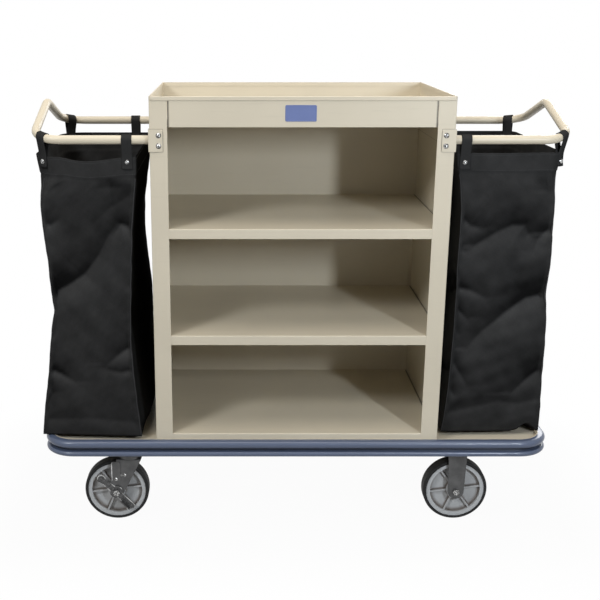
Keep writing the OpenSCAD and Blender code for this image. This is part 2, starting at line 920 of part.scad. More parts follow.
// Point where the line from p touches the circle of radius r about c, on side s of it
function touch(c, r, p, s) =
    let (v = p - c, a = atan2(v.y, v.x) + s * acos(r / norm(v)))
    c + r * [cos(a), sin(a)];

// Inside or outside line of a strap that loops round c and closes on the bag's wall.
// It is drawn in y and z, and its two ends hang at y_out and y_in from neck down to low
module strap_line(c, r, y_out, y_in, neck, low) {
    translate(c)
        circle(r);
    polygon([
        touch(c, r, [y_in, neck], 1), [y_in, neck], [y_in, low],
        [y_out, low], [y_out, neck], touch(c, r, [y_out, neck], -1)
    ]);
}

// One strap: its loop has room for the bar's slope and curve across the strap's width
module hang_strap(strap) {
    slope = asin(sin(strap[1]) * sin(climb));
    rise = strap_w / 2 * tan(slope);
    bow = strap[1] > 0 ? strap_w * strap_w / corner_bend_r / 8 : 0;
    c = [bow / 2, 0];
    bore_r = tube_d / 2 / cos(slope) + norm([rise, bow / 2]) + run_gap;
    y_out = -strap[2] - bag_t / 2 - run_gap;
    y_in = -strap[2] + bag_t / 2 + strap[3] + run_gap;
    neck = bag_top + CUT - strap[0].z;
    low = bag_top - strap_drop - strap[0].z;
    at_strap(strap)
        translate([-strap_w / 2, 0, 0])
            along_x(strap_w)
                difference() {
                    strap_line(c, bore_r + strap_t, y_out - strap_t, y_in + strap_t, neck, low);
                    strap_line(c, bore_r, y_out, y_in, neck, low - CUT);
                }
}

// All straps of a bag
module hang_straps(rows) {
    color(BLACK_CLOTH)
        for (row = [0, 1])
            mirror([0, row, 0])
                for (strap = rows[row])
                    hang_strap(strap);
}

module right_bag_straps() {
    hang_straps(right_straps);
}

module left_bag_straps() {
    mirror([1, 0, 0])
        hang_straps(left_straps);
}

// Domed snaps on the straps' outer ends
module snaps(rows) {
    color(ZINC)
        for (row = [0, 1])
            mirror([0, row, 0])
                for (strap = rows[row])
                    at_strap(strap)
                        translate([0, -strap[2] - bag_t / 2 - run_gap - strap_t,
                                   bag_top - snap_drop - strap[0].z])
                            rotate([90, 0, 0])
                                dome(snap_d, snap_h);
}

module right_bag_snaps() {
    snaps(right_straps);
}

module left_bag_snaps() {
    mirror([1, 0, 0])
        snaps(left_straps);
}

// Casters

// Place a swivel caster's piece: row -1 is the front, 1 the rear, which is its mirror image
module at_swivel(row) {
    translate([-swivel_x, row * caster_y, 0])
        mirror([0, (row + 1) / 2, 0])
            children();
}

// Place a rigid caster's piece, as for the swivel casters
module at_rigid(row) {
    translate([rigid_x, row * caster_y, 0])
        mirror([0, (row + 1) / 2, 0])
            children();
}

// Caster plate with its bolt holes
module caster_plate() {
    difference() {
        translate([0, 0, plate_low])
            linear_extrude(plate_t)
                round_rect(plate_l, plate_w, plate_corner_r);
        at_corners(plate_hole_l, plate_hole_w)
            translate([0, 0, plate_low - CUT])
                cylinder(d = plate_bolt_d + 2 * hole_play, h = plate_t + 2 * CUT);
    }
}

// Ring-shaped groove for the balls, a little wider than they are
module ball_groove(z) {
    translate([0, 0, z])
        difference() {
            cylinder(d = ball_circle_d + ball_d + 2 * run_gap, h = groove_depth + CUT);
            translate([0, 0, -CUT])
                cylinder(d = ball_circle_d - ball_d - 2 * run_gap, h = groove_depth + 3 * CUT);
        }
}

// Swivel caster's plate, with the upper race under it and the kingpin's seat in its top
module swivel_plate() {
    color(FORK_GREY)
        difference() {
            union() {
                caster_plate();
                translate([0, 0, boss_low])
                    cylinder(d = race_d, h = boss_h);
            }
            ball_groove(boss_low - CUT);
            translate([0, 0, boss_low - CUT])
                cylinder(d = kingpin_d + 2 * pin_play, h = caster_h);
            translate([0, 0, caster_h - kingpin_top_h])
                cylinder(d = kingpin_head_d + 2 * pin_play, h = kingpin_top_h + CUT);
        }
}

module front_swivel_plate() {
    at_swivel(-1)
        swivel_plate();
}

module rear_swivel_plate() {
    at_swivel(1)
        swivel_plate();
}

// Riveted kingpins, with a flush head in the plate and a round head under the fork's crown
module kingpins() {
    low = crown_low - run_gap - kingpin_low_h;
    color(ZINC)
        for (row = [-1, 1])
            at_swivel(row) {
                translate([0, 0, low])
                    cylinder(d = kingpin_d, h = caster_h - low);
                translate([0, 0, low])
                    cylinder(d = kingpin_head_d, h = kingpin_low_h);
                translate([0, 0, caster_h - kingpin_top_h])
                    cylinder(d = kingpin_head_d, h = kingpin_top_h);
            }
}

// Folded fork: two legs and a crown bent from one sheet, cut to a side outline
// that is drawn in X and Z
module folded_fork(top) {
    low = axle_z - max(swivel_leg_r, rigid_leg_r);
    outer_w = 2 * leg_y;
    reach = plate_l + trail;
    intersection() {
        translate([-reach, 0, 0])
            along_x(2 * reach)
                difference() {
                    translate([0, top / 2])
                        round_rect(outer_w, top, fork_bend_r);
                    translate([0, (top - fork_t) / 2])
                        round_rect(fork_gap, top - fork_t, fork_bend_r - fork_t);
                    translate([-leg_y - CUT, -CUT])
                        square([outer_w + 2 * CUT, low]);
                }
        translate([0, leg_y + CUT, 0])
            along_y(outer_w + 2 * CUT)
                children();
    }
}

// Side outline of a fork from a level crown, width wide, to a round end at the axle x
module leg_outline(top, width, x, r) {
    v = unit([x, axle_z - top]);
    across = r * [-v.y, v.x];
    translate([x, axle_z])
        circle(r);
    polygon([
        [-width / 2, top], [width / 2, top],
        [x, axle_z] + across, [x, axle_z] - across
    ]);
}

// Hole for the axle bolt through both legs, at the axle x
module axle_hole(x) {
    translate([x, leg_y + CUT, axle_z])
        rotate([90, 0, 0])
            cylinder(d = axle_d + 2 * pin_play, h = 2 * leg_y + 2 * CUT);
}

// Swivel fork with the lower ball race on its crown
module swivel_fork() {
    color(FORK_GREY)
        difference() {
            union() {
                folded_fork(crown_top)
                    leg_outline(crown_top, crown_l, -trail, swivel_leg_r);
                translate([0, 0, crown_top - CUT])
                    cylinder(d = race_d, h = cup_h + CUT);
            }
            ball_groove(cup_top - groove_depth);
            translate([0, 0, crown_low - CUT])
                cylinder(d = kingpin_d + 2 * pin_play, h = cup_h + fork_t + 2 * CUT);
            axle_hole(-trail);
        }
}

module front_swivel_fork() {
    at_swivel(-1)
        swivel_fork();
}

module rear_swivel_fork() {
    at_swivel(1)
        swivel_fork();
}

// Ring of balls between the two races
module swivel_balls() {
    color(ZINC)
        for (i = [0:ball_count - 1])
            rotate([0, 0, i * 360 / ball_count])
                translate([ball_circle_d / 2, 0, cup_top - groove_depth + ball_d / 2])
                    sphere(d = ball_d - 2 * pin_play);
}

module front_swivel_balls() {
    at_swivel(-1)
        swivel_balls();
}

module rear_swivel_balls() {
    at_swivel(1)
        swivel_balls();
}

// Axle bolt along Y at the axle x, with its head out_gap outside the outer leg
module axle_bolt(x, out_gap) {
    color(ZINC)
        translate([x, -leg_y - out_gap, axle_z])
            rotate([-90, 0, 0]) {
                translate([0, 0, -axle_head_h])
                    hex_prism(axle_flats, axle_head_h);
                cylinder(d = axle_d, h = 2 * leg_y + out_gap + axle_head_h + 2 * CUT);
            }
}

// Nut on the inner leg
module axle_nut(x) {
    color(ZINC)
        translate([x, leg_y, axle_z])
            rotate([-90, 0, 0])
                hex_nut(axle_flats, axle_head_h, axle_d);
}

// Spacer tube that is clamped between the legs and carries the hub
module axle_spacer(x) {
    color(ZINC)
        translate([x, fork_gap / 2, axle_z])
            rotate([90, 0, 0])
                difference() {
                    cylinder(d = spacer_d, h = fork_gap);
                    translate([0, 0, -CUT])
                        cylinder(d = axle_d + 2 * pin_play, h = fork_gap + 2 * CUT);
                }
}

// The lever turns freely between the outer leg and the head of the swivel axle
lever_room = lever_t + 2 * run_gap;

module front_swivel_axle() {
    at_swivel(-1)
        axle_bolt(-trail, lever_room);
}

module rear_swivel_axle() {
    at_swivel(1)
        axle_bolt(-trail, lever_room);
}

module front_swivel_axle_nut() {
    at_swivel(-1)
        axle_nut(-trail);
}

module rear_swivel_axle_nut() {
    at_swivel(1)
        axle_nut(-trail);
}

module front_swivel_spacer() {
    at_swivel(-1)
        axle_spacer(-trail);
}

module rear_swivel_spacer() {
    at_swivel(1)
        axle_spacer(-trail);
}

// Brake bracket: a plate on the outer leg that runs from the crown down towards the axle
module brake_bracket() {
    foot_z = axle_z + brake_plate_up;
    top_z = crown_top - fork_bend_r;
    color(FORK_GREY)
        translate([-trail, -leg_y, (foot_z + top_z) / 2])
            along_y(brake_plate_t) {
                round_rect(brake_plate_w, top_z - foot_z, brake_plate_w / 4);
            }
}

module front_brake_bracket() {
    at_swivel(-1)
        brake_bracket();
}

module rear_brake_bracket() {
    at_swivel(1)
        brake_bracket();
}

// Brake lever: an eye on the axle, an arm up with a wide end and an arm down with a toe tab
module brake_lever() {
    toe_r = lever_w / 2;
    arms = [[lever_up, lever_up_angle, lever_end_r], [lever_down, lever_down_angle, toe_r]];
    color(FORK_GREY)
        translate([-trail, -lever_y, axle_z])
            difference() {
                union() {
                    along_y(lever_t) {
                        circle(lever_eye_r);
                        for (arm = arms)
                            rotate(arm[1]) {
                                translate([0, -lever_w / 2])
                                    square([arm[0] - arm[2], lever_w]);
                                translate([arm[0] - arm[2], 0])
                                    circle(arm[2]);
                            }
                    }
                    rotate([0, -lever_down_angle, 0])
                        translate([lever_down - toe_r - toe_l, -lever_t - toe_out, -toe_r])
                            cube([toe_l, toe_out + CUT, lever_t]);
                }
                translate([0, CUT, 0])
                    rotate([90, 0, 0])
                        cylinder(d = axle_d + 2 * pin_play, h = lever_t + 2 * CUT);
            }
}

module front_brake_lever() {
    at_swivel(-1)
        brake_lever();
}

module rear_brake_lever() {
    at_swivel(1)
        brake_lever();
}

// Moulded wheel core: rim, web, hub and radial ribs on both faces of the web
module wheel_core(x) {
    core_w = wheel_w - 2 * rim_inset;
    rib_w = core_w - 2 * rib_inset;
    color(CORE_GREY)
        translate([x, 0, axle_z])
            rotate([90, 0, 0])
                difference() {
                    union() {
                        difference() {
                            cylinder(r = core_r, h = core_w, center = true);
                            cylinder(r = core_r - rim_t, h = core_w + 2 * CUT, center = true);
                        }
                        cylinder(r = core_r - rim_t / 2, h = web_t, center = true);
                        cylinder(d = hub_d, h = hub_l, center = true);
                        for (i = [0:rib_count - 1])
                            rotate([0, 0, rib_turn + i * 360 / rib_count])
                                translate([hub_d / 4, -rib_t / 2, -rib_w / 2])
                                    cube([core_r - rim_t / 2 - hub_d / 4, rib_t, rib_w]);
                    }
                    cylinder(d = spacer_d + 2 * pin_play, h = hub_l + 2 * CUT, center = true);
                }
}

// Tyre with rounded shoulders
module tyre(x) {
    color(TYRE_BLACK)
        translate([x, 0, axle_z])
            rotate([90, 0, 0])
                rotate_extrude()
                    difference() {
                        translate([wheel_d / 2 - tyre_t, 0])
                            round_rect(2 * tyre_t, wheel_w, tyre_shoulder_r);
                        translate([0, -wheel_w])
                            square([core_r, 2 * wheel_w]);
                    }
}

module front_swivel_core() {
    at_swivel(-1)
        wheel_core(-trail);
}

module rear_swivel_core() {
    at_swivel(1)
        wheel_core(-trail);
}

module front_swivel_tyre() {
    at_swivel(-1)
        tyre(-trail);
}

module rear_swivel_tyre() {
    at_swivel(1)
        tyre(-trail);
}

// Rigid fork with its plate in one piece
module rigid_fork() {
    color(FORK_GREY)
        difference() {
            union() {
                caster_plate();
                folded_fork(plate_low)
                    leg_outline(plate_low, rigid_leg_w, 0, rigid_leg_r);
            }
            axle_hole(0);
        }
}

module front_rigid_fork() {
    at_rigid(-1)
        rigid_fork();
}

module rear_rigid_fork() {
    at_rigid(1)
        rigid_fork();
}

module rigid_axles() {
    for (row = [-1, 1])
        at_rigid(row)
            axle_bolt(0, 0);
}

module rigid_axle_nuts() {
    for (row = [-1, 1])
        at_rigid(row)
            axle_nut(0);
}

module rigid_spacers() {
    for (row = [-1, 1])
        at_rigid(row)
            axle_spacer(0);
}

module front_rigid_core() {
    at_rigid(-1)
        wheel_core(0);
}

module rear_rigid_core() {
    at_rigid(1)
        wheel_core(0);
}

module front_rigid_tyre() {
    at_rigid(-1)
        tyre(0);
}

module rear_rigid_tyre() {
    at_rigid(1)
        tyre(0);
}

// Place a copy at each caster plate bolt
module at_plate_bolts() {
    for (x = [-swivel_x, rigid_x], sy = [-1, 1])
        translate([x, sy * caster_y, 0])
            at_corners(plate_hole_l, plate_hole_w)
                children();
}

// Bolts through the channels and caster plates, heads inside the channels
module caster_bolts() {
    color(ZINC)
        at_plate_bolts() {
            translate([0, 0, caster_h + channel_t])
                hex_prism(plate_bolt_flats, plate_bolt_h);
            translate([0, 0, plate_low - plate_bolt_h - CUT])
                cylinder(d = plate_bolt_d, h = plate_t + channel_t + plate_bolt_h + 2 * CUT);
        }
}

// Nuts under the caster plates
module caster_nuts() {
    color(ZINC)
        at_plate_bolts()
            translate([0, 0, plate_low - plate_bolt_h])
                hex_nut(plate_bolt_flats, plate_bolt_h, plate_bolt_d);
}

deck_pan();
caster_channel(-swivel_x);  // caster_channel_left
caster_channel(rigid_x);  // caster_channel_right
bumper();
side_panel_left();
side_panel_right();
back_panel();
header_apron();
tray_floor();
upper_shelf();
middle_shelf();
lower_shelf();
foot_bolts();
left_handle();
right_handle();
front_left_bracket();
rear_left_bracket();
front_right_bracket();
rear_right_bracket();
bracket_bolts();
bracket_nuts();
left_bag();
right_bag();
left_bag_straps();
right_bag_straps();
left_bag_snaps();
right_bag_snaps();
caster_bolts();
caster_nuts();
front_swivel_plate();
rear_swivel_plate();
kingpins();
front_swivel_fork();
rear_swivel_fork();
front_swivel_balls();
rear_swivel_balls();
front_swivel_axle();
rear_swivel_axle();
front_swivel_axle_nut();
rear_swivel_axle_nut();
front_swivel_spacer();
rear_swivel_spacer();
front_brake_bracket();
rear_brake_bracket();
front_brake_lever();
rear_brake_lever();
front_swivel_core();
rear_swivel_core();
front_swivel_tyre();
rear_swivel_tyre();
front_rigid_fork();
rear_rigid_fork();
rigid_axles();
rigid_axle_nuts();
rigid_spacers();
front_rigid_core();
rear_rigid_core();
front_rigid_tyre();
rear_rigid_tyre();
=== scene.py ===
import collections
import math

import bpy
import numpy as np
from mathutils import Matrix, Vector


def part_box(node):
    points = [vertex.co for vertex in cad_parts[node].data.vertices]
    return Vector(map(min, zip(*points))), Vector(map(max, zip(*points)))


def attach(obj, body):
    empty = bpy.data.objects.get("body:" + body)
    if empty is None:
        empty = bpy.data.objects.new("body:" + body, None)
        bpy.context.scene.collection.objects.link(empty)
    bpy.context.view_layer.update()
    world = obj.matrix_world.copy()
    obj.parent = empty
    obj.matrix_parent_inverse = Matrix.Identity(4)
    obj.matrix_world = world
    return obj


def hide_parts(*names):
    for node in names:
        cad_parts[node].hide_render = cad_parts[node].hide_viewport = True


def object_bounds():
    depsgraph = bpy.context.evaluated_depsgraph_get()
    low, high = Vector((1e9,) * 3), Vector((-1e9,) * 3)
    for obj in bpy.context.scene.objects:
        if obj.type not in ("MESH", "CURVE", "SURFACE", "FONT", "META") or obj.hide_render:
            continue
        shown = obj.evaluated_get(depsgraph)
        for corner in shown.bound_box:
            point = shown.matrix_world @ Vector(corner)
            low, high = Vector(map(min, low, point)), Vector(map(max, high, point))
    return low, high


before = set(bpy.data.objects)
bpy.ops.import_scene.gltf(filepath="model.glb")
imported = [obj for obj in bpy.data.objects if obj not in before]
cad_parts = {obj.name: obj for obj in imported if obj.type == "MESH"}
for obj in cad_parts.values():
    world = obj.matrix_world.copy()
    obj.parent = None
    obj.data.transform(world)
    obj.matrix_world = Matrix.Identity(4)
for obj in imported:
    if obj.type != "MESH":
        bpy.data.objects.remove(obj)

bl_info = {
    "name": "Housekeeping cart",
    "version": (1, 0, 0),
    "blender": (4, 5, 0),
    "location": "View3D > Sidebar > Cart",
    "description": "Dresses the cart's frame with its finishes, hanging bags, straps and studio",
    "category": "Object",
}

CAD_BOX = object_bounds()
MM = 0.001
WARM = (1.0, 0.93, 0.85)

ROWS = {"front": -1, "rear": 1}
SHEET_METAL = ["back_panel", "tray_floor"]
POSTS = [
    "side_panel_left", "side_panel_right",
    *(f"{row}_{side}_bracket" for row in ROWS for side in ("left", "right")),
]
SHELVES = ["upper_shelf", "middle_shelf", "lower_shelf"]
TUBES = ["left_handle", "right_handle"]
DECK = ["deck_pan", "caster_channel_left", "caster_channel_right"]
WHEELS = [f"{row}_{kind}" for kind in ("swivel", "rigid") for row in ROWS]
CASTER_STEEL = [
    f"{row}_{part}" for row in ROWS for part in ("swivel_plate", "swivel_fork", "rigid_fork")
]
BRIGHT_PARTS = [
    "foot_bolts", "bracket_bolts", "bracket_nuts", "left_bag_snaps", "right_bag_snaps",
    "caster_bolts", "caster_nuts", "kingpins", "rigid_axles", "rigid_axle_nuts", "rigid_spacers",
    *(f"{row}_swivel_{part}" for row in ROWS for part in ("balls", "axle", "axle_nut", "spacer")),
]

# Width of the painted shadow line round a bolted plate.
PLATE_LINE = 1.4 * MM
APRON_RIM = 12 * MM
# Width of the painted corner shade along the sheets' seams.
SEAM_SHADE_W = 8 * MM
UPPER_BEAD_R = 12.5 * MM
LOWER_BEAD_R = 8.5 * MM
# Width of the painted shade in the bumper's groove.
GROOVE_W = 6 * MM
# Width of the painted highlight along the edges of the brake's bracket and lever.
EDGE_LIGHT_W = 2 * MM
LEVER_EYE_R = 21 * MM
LEVER_W = 21 * MM
# Each arm's direction, its length and the radius of its end.
LEVER_ARMS = ((math.radians(136), 65 * MM, 13 * MM), (math.radians(-46), 65.5 * MM, 10.5 * MM))
RIB_COUNT = 6
RIB_TURN = math.radians(7)
HUB_R = 27 * MM
RIM_R = 79.5 * MM
RIM_HALF_W = 22 * MM
# How far the painted shade reaches from the rim, the hub and a rib, and the depth at which it begins and is
# full.
RIM_SHADE = 14 * MM
HUB_SHADE = 9 * MM
RIB_SHADE = (3 * MM, 9 * MM)
DEEP_SHADE = (4 * MM, 15 * MM)
RUNNING_R = (98.5 * MM, 101 * MM)
TURNED_PITCH = 1.496 * MM
RIVET_X = (17 * MM, 28 * MM)
RIVET_Z = 57 * MM
RIVET_R = 5 * MM
RIVET_H = 1.8 * MM
BRAKE_BOLT_Z = 45 * MM
BRAKE_BOLT_R = 6.5 * MM
BRAKE_BOLT_H = 3.5 * MM
DOME_ROWS = 6
DOME_SIDES = 20
DOME_END = 0.48 * math.pi
CLOTH_PITCH = 1.3 * MM
WEBBING_PITCH = 2.4 * MM
# Outline of the label plate's section: inset in borders, and height in thicknesses.
PLATE_SECTION = ((0, 0), (0, 0.75), (0.4, 1), (1, 1), (1.25, 0.7), (3, 0.7))
PLATE_STEPS = 64
PLATE_LEAST_R = 0.4 * MM
PLATE_SINK = 0.05 * MM
FLOOR_REACH = 30
FLOOR_STEPS = 9
SENSOR_W = 36
# Each lamp's width and height, its place and its colour.
LAMPS = {
    "key": ((0.16, 0.4), (1.23, -2.39, 1.65), (0.93, 1.0, 1.08)),
    "top": ((3.0, 3.0), (0.0, -0.5, 4.2), WARM),
    "fill": ((0.8, 0.8), (-2.2, -2.5, 2.9), (0.98, 1.0, 1.02)),
    "back": ((2.4, 2.4), (2.4, 4.0, 2.6), (1.0, 1.0, 1.0)),
}


def linear(red, green, blue):
    """Linear colour of an 8-bit display colour."""
    share = np.array([red, green, blue]) / 255
    toe = share / 12.92
    curve = ((share + 0.055) / 1.055) ** 2.4
    return tuple(float(c) for c in np.where(share <= 0.04045, toe, curve))


def colour(name, description, rgb):
    """Colour property with a default written in 8-bit display values."""
    return bpy.props.FloatVectorProperty(
        name=name, description=description, subtype="COLOR", size=3, min=0, max=1,
        default=linear(*rgb),
    )


def number(name, description, default, unit="NONE", precision=2):
    """Number property, with the unit that the panel shows."""
    return bpy.props.FloatProperty(
        name=name, description=description, default=default, unit=unit, precision=precision
    )


def length(name, description, millimetres):
    """Length property with a default written in millimetres."""
    return number(name, description, millimetres * MM, "LENGTH", 4)


class CartColours(bpy.types.PropertyGroup):
    """Colours of the cart's finishes"""

    coat: colour("Powder coat", "Coat of the cabinet and the deck", (206, 197, 177))
    tube: colour("Tube coat", "Warmer coat of the bent handles", (210, 200, 178))
    vinyl: colour("Bumper vinyl", "Strip round the deck", (83, 94, 117))
    steel: colour("Caster steel", "Plated forks, plates and brakes", (84, 84, 84))
    core: colour("Wheel core", "Moulded wheel centres", (188, 190, 191))
    tyre: colour("Tyre", "Rubber of the wheels", (30, 30, 30))
    zinc: colour("Bright zinc", "Bolts, nuts, snaps and axles", (166, 166, 165))
    cloth: colour("Bag cloth", "Woven cloth of the bags", (47, 47, 47))
    webbing: colour("Webbing", "Hanging straps of the bags", (50, 50, 50))
    piping: colour("Piping", "Bound seams along the bags' corners", (62, 62, 63))
    # Colour of the painted shade in the wheels' recesses, in a brown tint, with some soiling.
    grime_and_shade: colour("Grime", "Brown dirt in the corners of the wheels' centres", (86, 70, 56))
    thread: colour("Thread", "Sewing thread of the hems", (58, 58, 59))
    plate: colour("Label plate", "Bare plate on the header", (98, 113, 161))


class CartBags(bpy.types.PropertyGroup):
    """Sizes of the bags, their straps and the bars that carry them"""

    top_z: length("Mouth height", "Upper edge of the bags at the straps", 1166)
    base_z: length("Base height", "Underside of the bags", 295)
    cloth_t: length("Cloth thickness", "Thickness of the bags' cloth", 1.8)
    hem_h: length("Hem height", "Height of the doubled band round the mouth", 57)
    hem_t: length("Hem step", "How far the doubled band stands out", 1.2)
    piping_r: length("Piping radius", "Half thickness of the bound seams along the corners", 1.7)
    stitch_l: length("Stitch length", "Length of one stitch", 4)
    stitch_d: length("Stitch thickness", "Thickness of the sewing thread", 0.9)
    strap_w: length("Strap width", "Width of the webbing straps", 30)
    strap_t: length("Strap thickness", "Thickness of the webbing", 2.4)
    strap_drop: length("Strap drop", "How far the outer tails reach below the mouth", 38)
    tail_drop: length("Inner tail drop", "How far the inner tails reach below the mouth", 30)
    mouth_y: length("Mouth half depth", "Distance of the mouths' edges from the middle of the cart", 267)
    bar_y: length("Bar distance", "Distance of the bars from the middle of the cart", 266)
    bar_z: length("Bar height", "Height of the straight bars", 1213)
    bar_d: length("Bar diameter", "Diameter of the handle tube", 25.4)
    handle_x: length("Handle reach", "Distance of the end bars from the middle of the cart", 773)
    bend_r: length("Bend radius", "Radius of the handles' corners on the tube's axis", 74)
    climb: number("Climb", "Slope of the handles' end bars", math.atan2(85, 266), "ROTATION")
    play: length("Strap play", "Gap between webbing and bar", 0.6)


class CartPlate(bpy.types.PropertyGroup):
    """Size and place of the bare label plate on the header"""

    middle_x: length("Middle", "Plate's middle from the cart's middle", -5)
    middle_z: length("Height", "Plate's middle above the floor", 1290)
    width: length("Width", "Width of the plate", 89)
    height: length("Height of plate", "Height of the plate", 46)
    thick: length("Thickness", "Thickness of the plate", 1.2)
    corner: length("Corner radius", "Radius of the plate's corners", 4)
    border: length("Border", "Width of the plate's raised border", 2.2)


class CartStudio(bpy.types.PropertyGroup):
    """Camera, floor and light"""

    camera_x: length("Camera X", "Camera's place along the cart", -192)
    camera_y: length("Camera Y", "Camera's place in front of the cart", -3138.5)
    camera_z: length("Camera Z", "Camera's height", 1569)
    tilt: number("Tilt", "How far the camera looks down", math.radians(16.191), "ROTATION")
    lens: number("Lens", "Focal length on a 36 mm sensor", 59.85, "CAMERA")
    shift: number("Shift", "Sideways shift of the picture", 0.1087)
    floor: colour("Floor", "Plain pale floor", (176, 176, 176))
    ambient: number("Ambient", "Strength of the light from all round", 0.08)
    key: number("Key lamp", "Power of the lamp in front", 30, "POWER")
    top: number("Top lamp", "Power of the lamp overhead", 95, "POWER")
    fill: number("Fill lamp", "Power of the lamp at the left", 58, "POWER")
    back: number("Back lamp", "Power of the lamp behind", 110, "POWER")
    near_white: number("Near floor", "Share of plain white in the floor under the cart", 0.96)
    white_reach: length("White reach", "Distance from the cart at which the floor is plain white", 500)


# Shader maths


def arithmetic(operation, swapped=False):
    """Method that adds a Math node for one operation on a field and another value."""
    def method(self, other=0.0):
        values = (other, self) if swapped else (self, other)
        return self.nodes.node("ShaderNodeMath", {"operation": operation}, dict(enumerate(values)))
    return method


class Field:
    """A value over a surface: an output socket whose arithmetic adds Math nodes."""

    def __init__(self, nodes, socket):
        self.nodes = nodes
        self.socket = socket

    __add__ = __radd__ = arithmetic("ADD")
    __sub__ = arithmetic("SUBTRACT")
    __rsub__ = arithmetic("SUBTRACT", swapped=True)
    __mul__ = __rmul__ = arithmetic("MULTIPLY")
    __truediv__ = arithmetic("DIVIDE")
    __pow__ = arithmetic("POWER")
    __abs__ = arithmetic("ABSOLUTE")
    sine = arithmetic("SINE")
    angle = arithmetic("ARCTAN2")
    higher = arithmetic("MAXIMUM")
    lower = arithmetic("MINIMUM")

    def length(self, other):
        """Length of a step by this value and, at right angles to it, by the other one."""
        return (self * self + other * other) ** 0.5

    def step(self, low, high):
        """0 below low, 1 above high, and a smooth rise between."""
        return self.nodes.node(
            "ShaderNodeMapRange", {"interpolation_type": "SMOOTHSTEP"},
            {"Value": self, "From Min": low, "From Max": high},
        )


class Nodes:
    """A node tree in the making: one method adds every node."""

    def __init__(self, tree):
        self.tree = tree
        tree.nodes.clear()

    def node(self, kind, settings=None, inputs=None, output=0):
        """Adds a node, with its settings first and then its sockets, and gives one output."""
        made = self.tree.nodes.new(kind)
        for name, value in (settings or {}).items():
            setattr(made, name, value)
        for name, value in (inputs or {}).items():
            if isinstance(value, Field):
                self.tree.links.new(value.socket, made.inputs[name])
            else:
                made.inputs[name].default_value = value
        return Field(self, made.outputs[output])

    def parts(self, vector):
        """The three numbers of a vector."""
        first = self.node("ShaderNodeSeparateXYZ", None, {0: vector})
        return [Field(self, output) for output in first.socket.node.outputs]

    def joined(self, x, y, z):
        """A vector from three numbers."""
        return self.node("ShaderNodeCombineXYZ", None, {0: x, 1: y, 2: z})

    def blend(self, share, first, second):
        """Colour between two colours."""
        colours = [c if isinstance(c, Field) else (*c[:3], 1) for c in (first, second)]
        return self.node(
            "ShaderNodeMix", {"data_type": "RGBA"}, {0: share, 6: colours[0], 7: colours[1]}, 2
        )

    def tones(self, share, rgb, first, second):
        """Colour between two shades of one colour."""
        return self.blend(share, shade(rgb, first), shade(rgb, second))

    def seen(self):
        """1 for what the camera sees, straight or in a gloss or a glass, and 0 for light."""
        path = [self.node("ShaderNodeLightPath", output=name)
                for name in ("Is Camera Ray", "Is Glossy Ray", "Is Transmission Ray")]
        return (path[0] + path[1] + path[2]).lower(1.0)


class Finish(Nodes):
    """A material in the making: the shader that it feeds, and the place on the piece in metres."""

    def __init__(self, name, **constants):
        self.material = bpy.data.materials.new(name)
        self.material.use_nodes = True
        super().__init__(self.material.node_tree)
        self.output = self.tree.nodes.new("ShaderNodeOutputMaterial")
        self.shader = self.tree.nodes.new("ShaderNodeBsdfPrincipled")
        self.tree.links.new(self.shader.outputs[0], self.output.inputs["Surface"])
        for socket, value in constants.items():
            self.shader.inputs[socket.replace("_", " ")].default_value = value
        self.place = self.node("ShaderNodeTexCoord", output="Object")
        self.axes = self.parts(self.place)

    def noise(self, scale, detail=2.0, roughness=0.5, vector=None):
        """Soft noise from 0 to 1, with features about 1 / scale metres wide."""
        return self.node(
            "ShaderNodeTexNoise", None,
            {"Vector": vector or self.place, "Scale": scale, "Detail": detail, "Roughness": roughness},
        )

    def made(self, relief, strength, depth, **fields):
        """The material, with relief from a height field and the other fields in the shader's sockets."""
        bump = {"Strength": strength, "Distance": depth, "Height": relief}
        fields["Normal"] = self.node("ShaderNodeBump", None, bump)
        for socket, field in fields.items():
            self.tree.links.new(field.socket, self.shader.inputs[socket.replace("_", " ")])
        return self.material


def shade(rgb, factor):
    """A colour made lighter or darker."""
    return tuple(min(1.0, c * factor) for c in rgb)


# Finishes


def coat_finish(name, rgb, scuffs=0.35, seam=None, plate=None):
    """Baked powder coat: fine orange peel, faint cloudiness, and level scuffs where things slide.
    seam is the distance along X at which a sheet meets its neighbours, where a painted shade with some
    soiling darkens the corner, and the height up to which it does.
    plate is the box of a plate bolted on at both ends, with a painted shadow line round its outline."""
    finish = Finish(name, Specular_IOR_Level=0.45)
    x, y, z = finish.axes
    cloud = finish.noise(2.3, 3.0)
    peel = finish.noise(520.0, 1.0)
    speck = finish.noise(1500.0, 0.0).step(0.62, 0.75)
    drag = finish.noise(3.0, 4.0, 0.65, finish.joined(x * 3.0, y * 40.0, z * 40.0))
    wear_and_highlight = drag.step(0.56, 0.75) * scuffs
    base = finish.tones(cloud.step(0.3, 0.7), rgb, 0.965, 1.03)
    base = finish.blend(speck * 0.16, base, shade(rgb, 0.82))
    base = finish.blend(wear_and_highlight * 0.5, base, shade(rgb, 0.78))
    # Painted shade, with some soiling, in a band that darkens towards the corner where the sheet meets its
    # neighbours.
    if seam:
        reach, top = seam
        grime_and_shade = abs(x).step(reach - SEAM_SHADE_W, reach - 0.4 * SEAM_SHADE_W) * (1 - z.step(top - 0.5 * MM, top))
        base = finish.blend(grime_and_shade * (0.7 + drag * 0.3), base, shade(rgb, 0.1))
    # Painted shadow line just inside and outside the bolted plate's outline.
    if plate:
        middle, half = (plate[0] + plate[1]) / 2, (plate[1] - plate[0]) / 2
        outside = (abs(abs(x) - middle.x) - half.x).higher(abs(z - middle.z) - half.z)
        rim = outside.step(-0.4 * PLATE_LINE, 0.0) * (1 - outside.step(0.5 * PLATE_LINE, PLATE_LINE))
        base = finish.blend(rim * (0.45 + drag * 0.4), base, shade(rgb, 0.25))
    rough = 0.36 + cloud * 0.10 + wear_and_highlight * 0.22
    return finish.made(peel + drag * 0.3, 0.10, 0.0006, Base_Color=base, Roughness=rough)


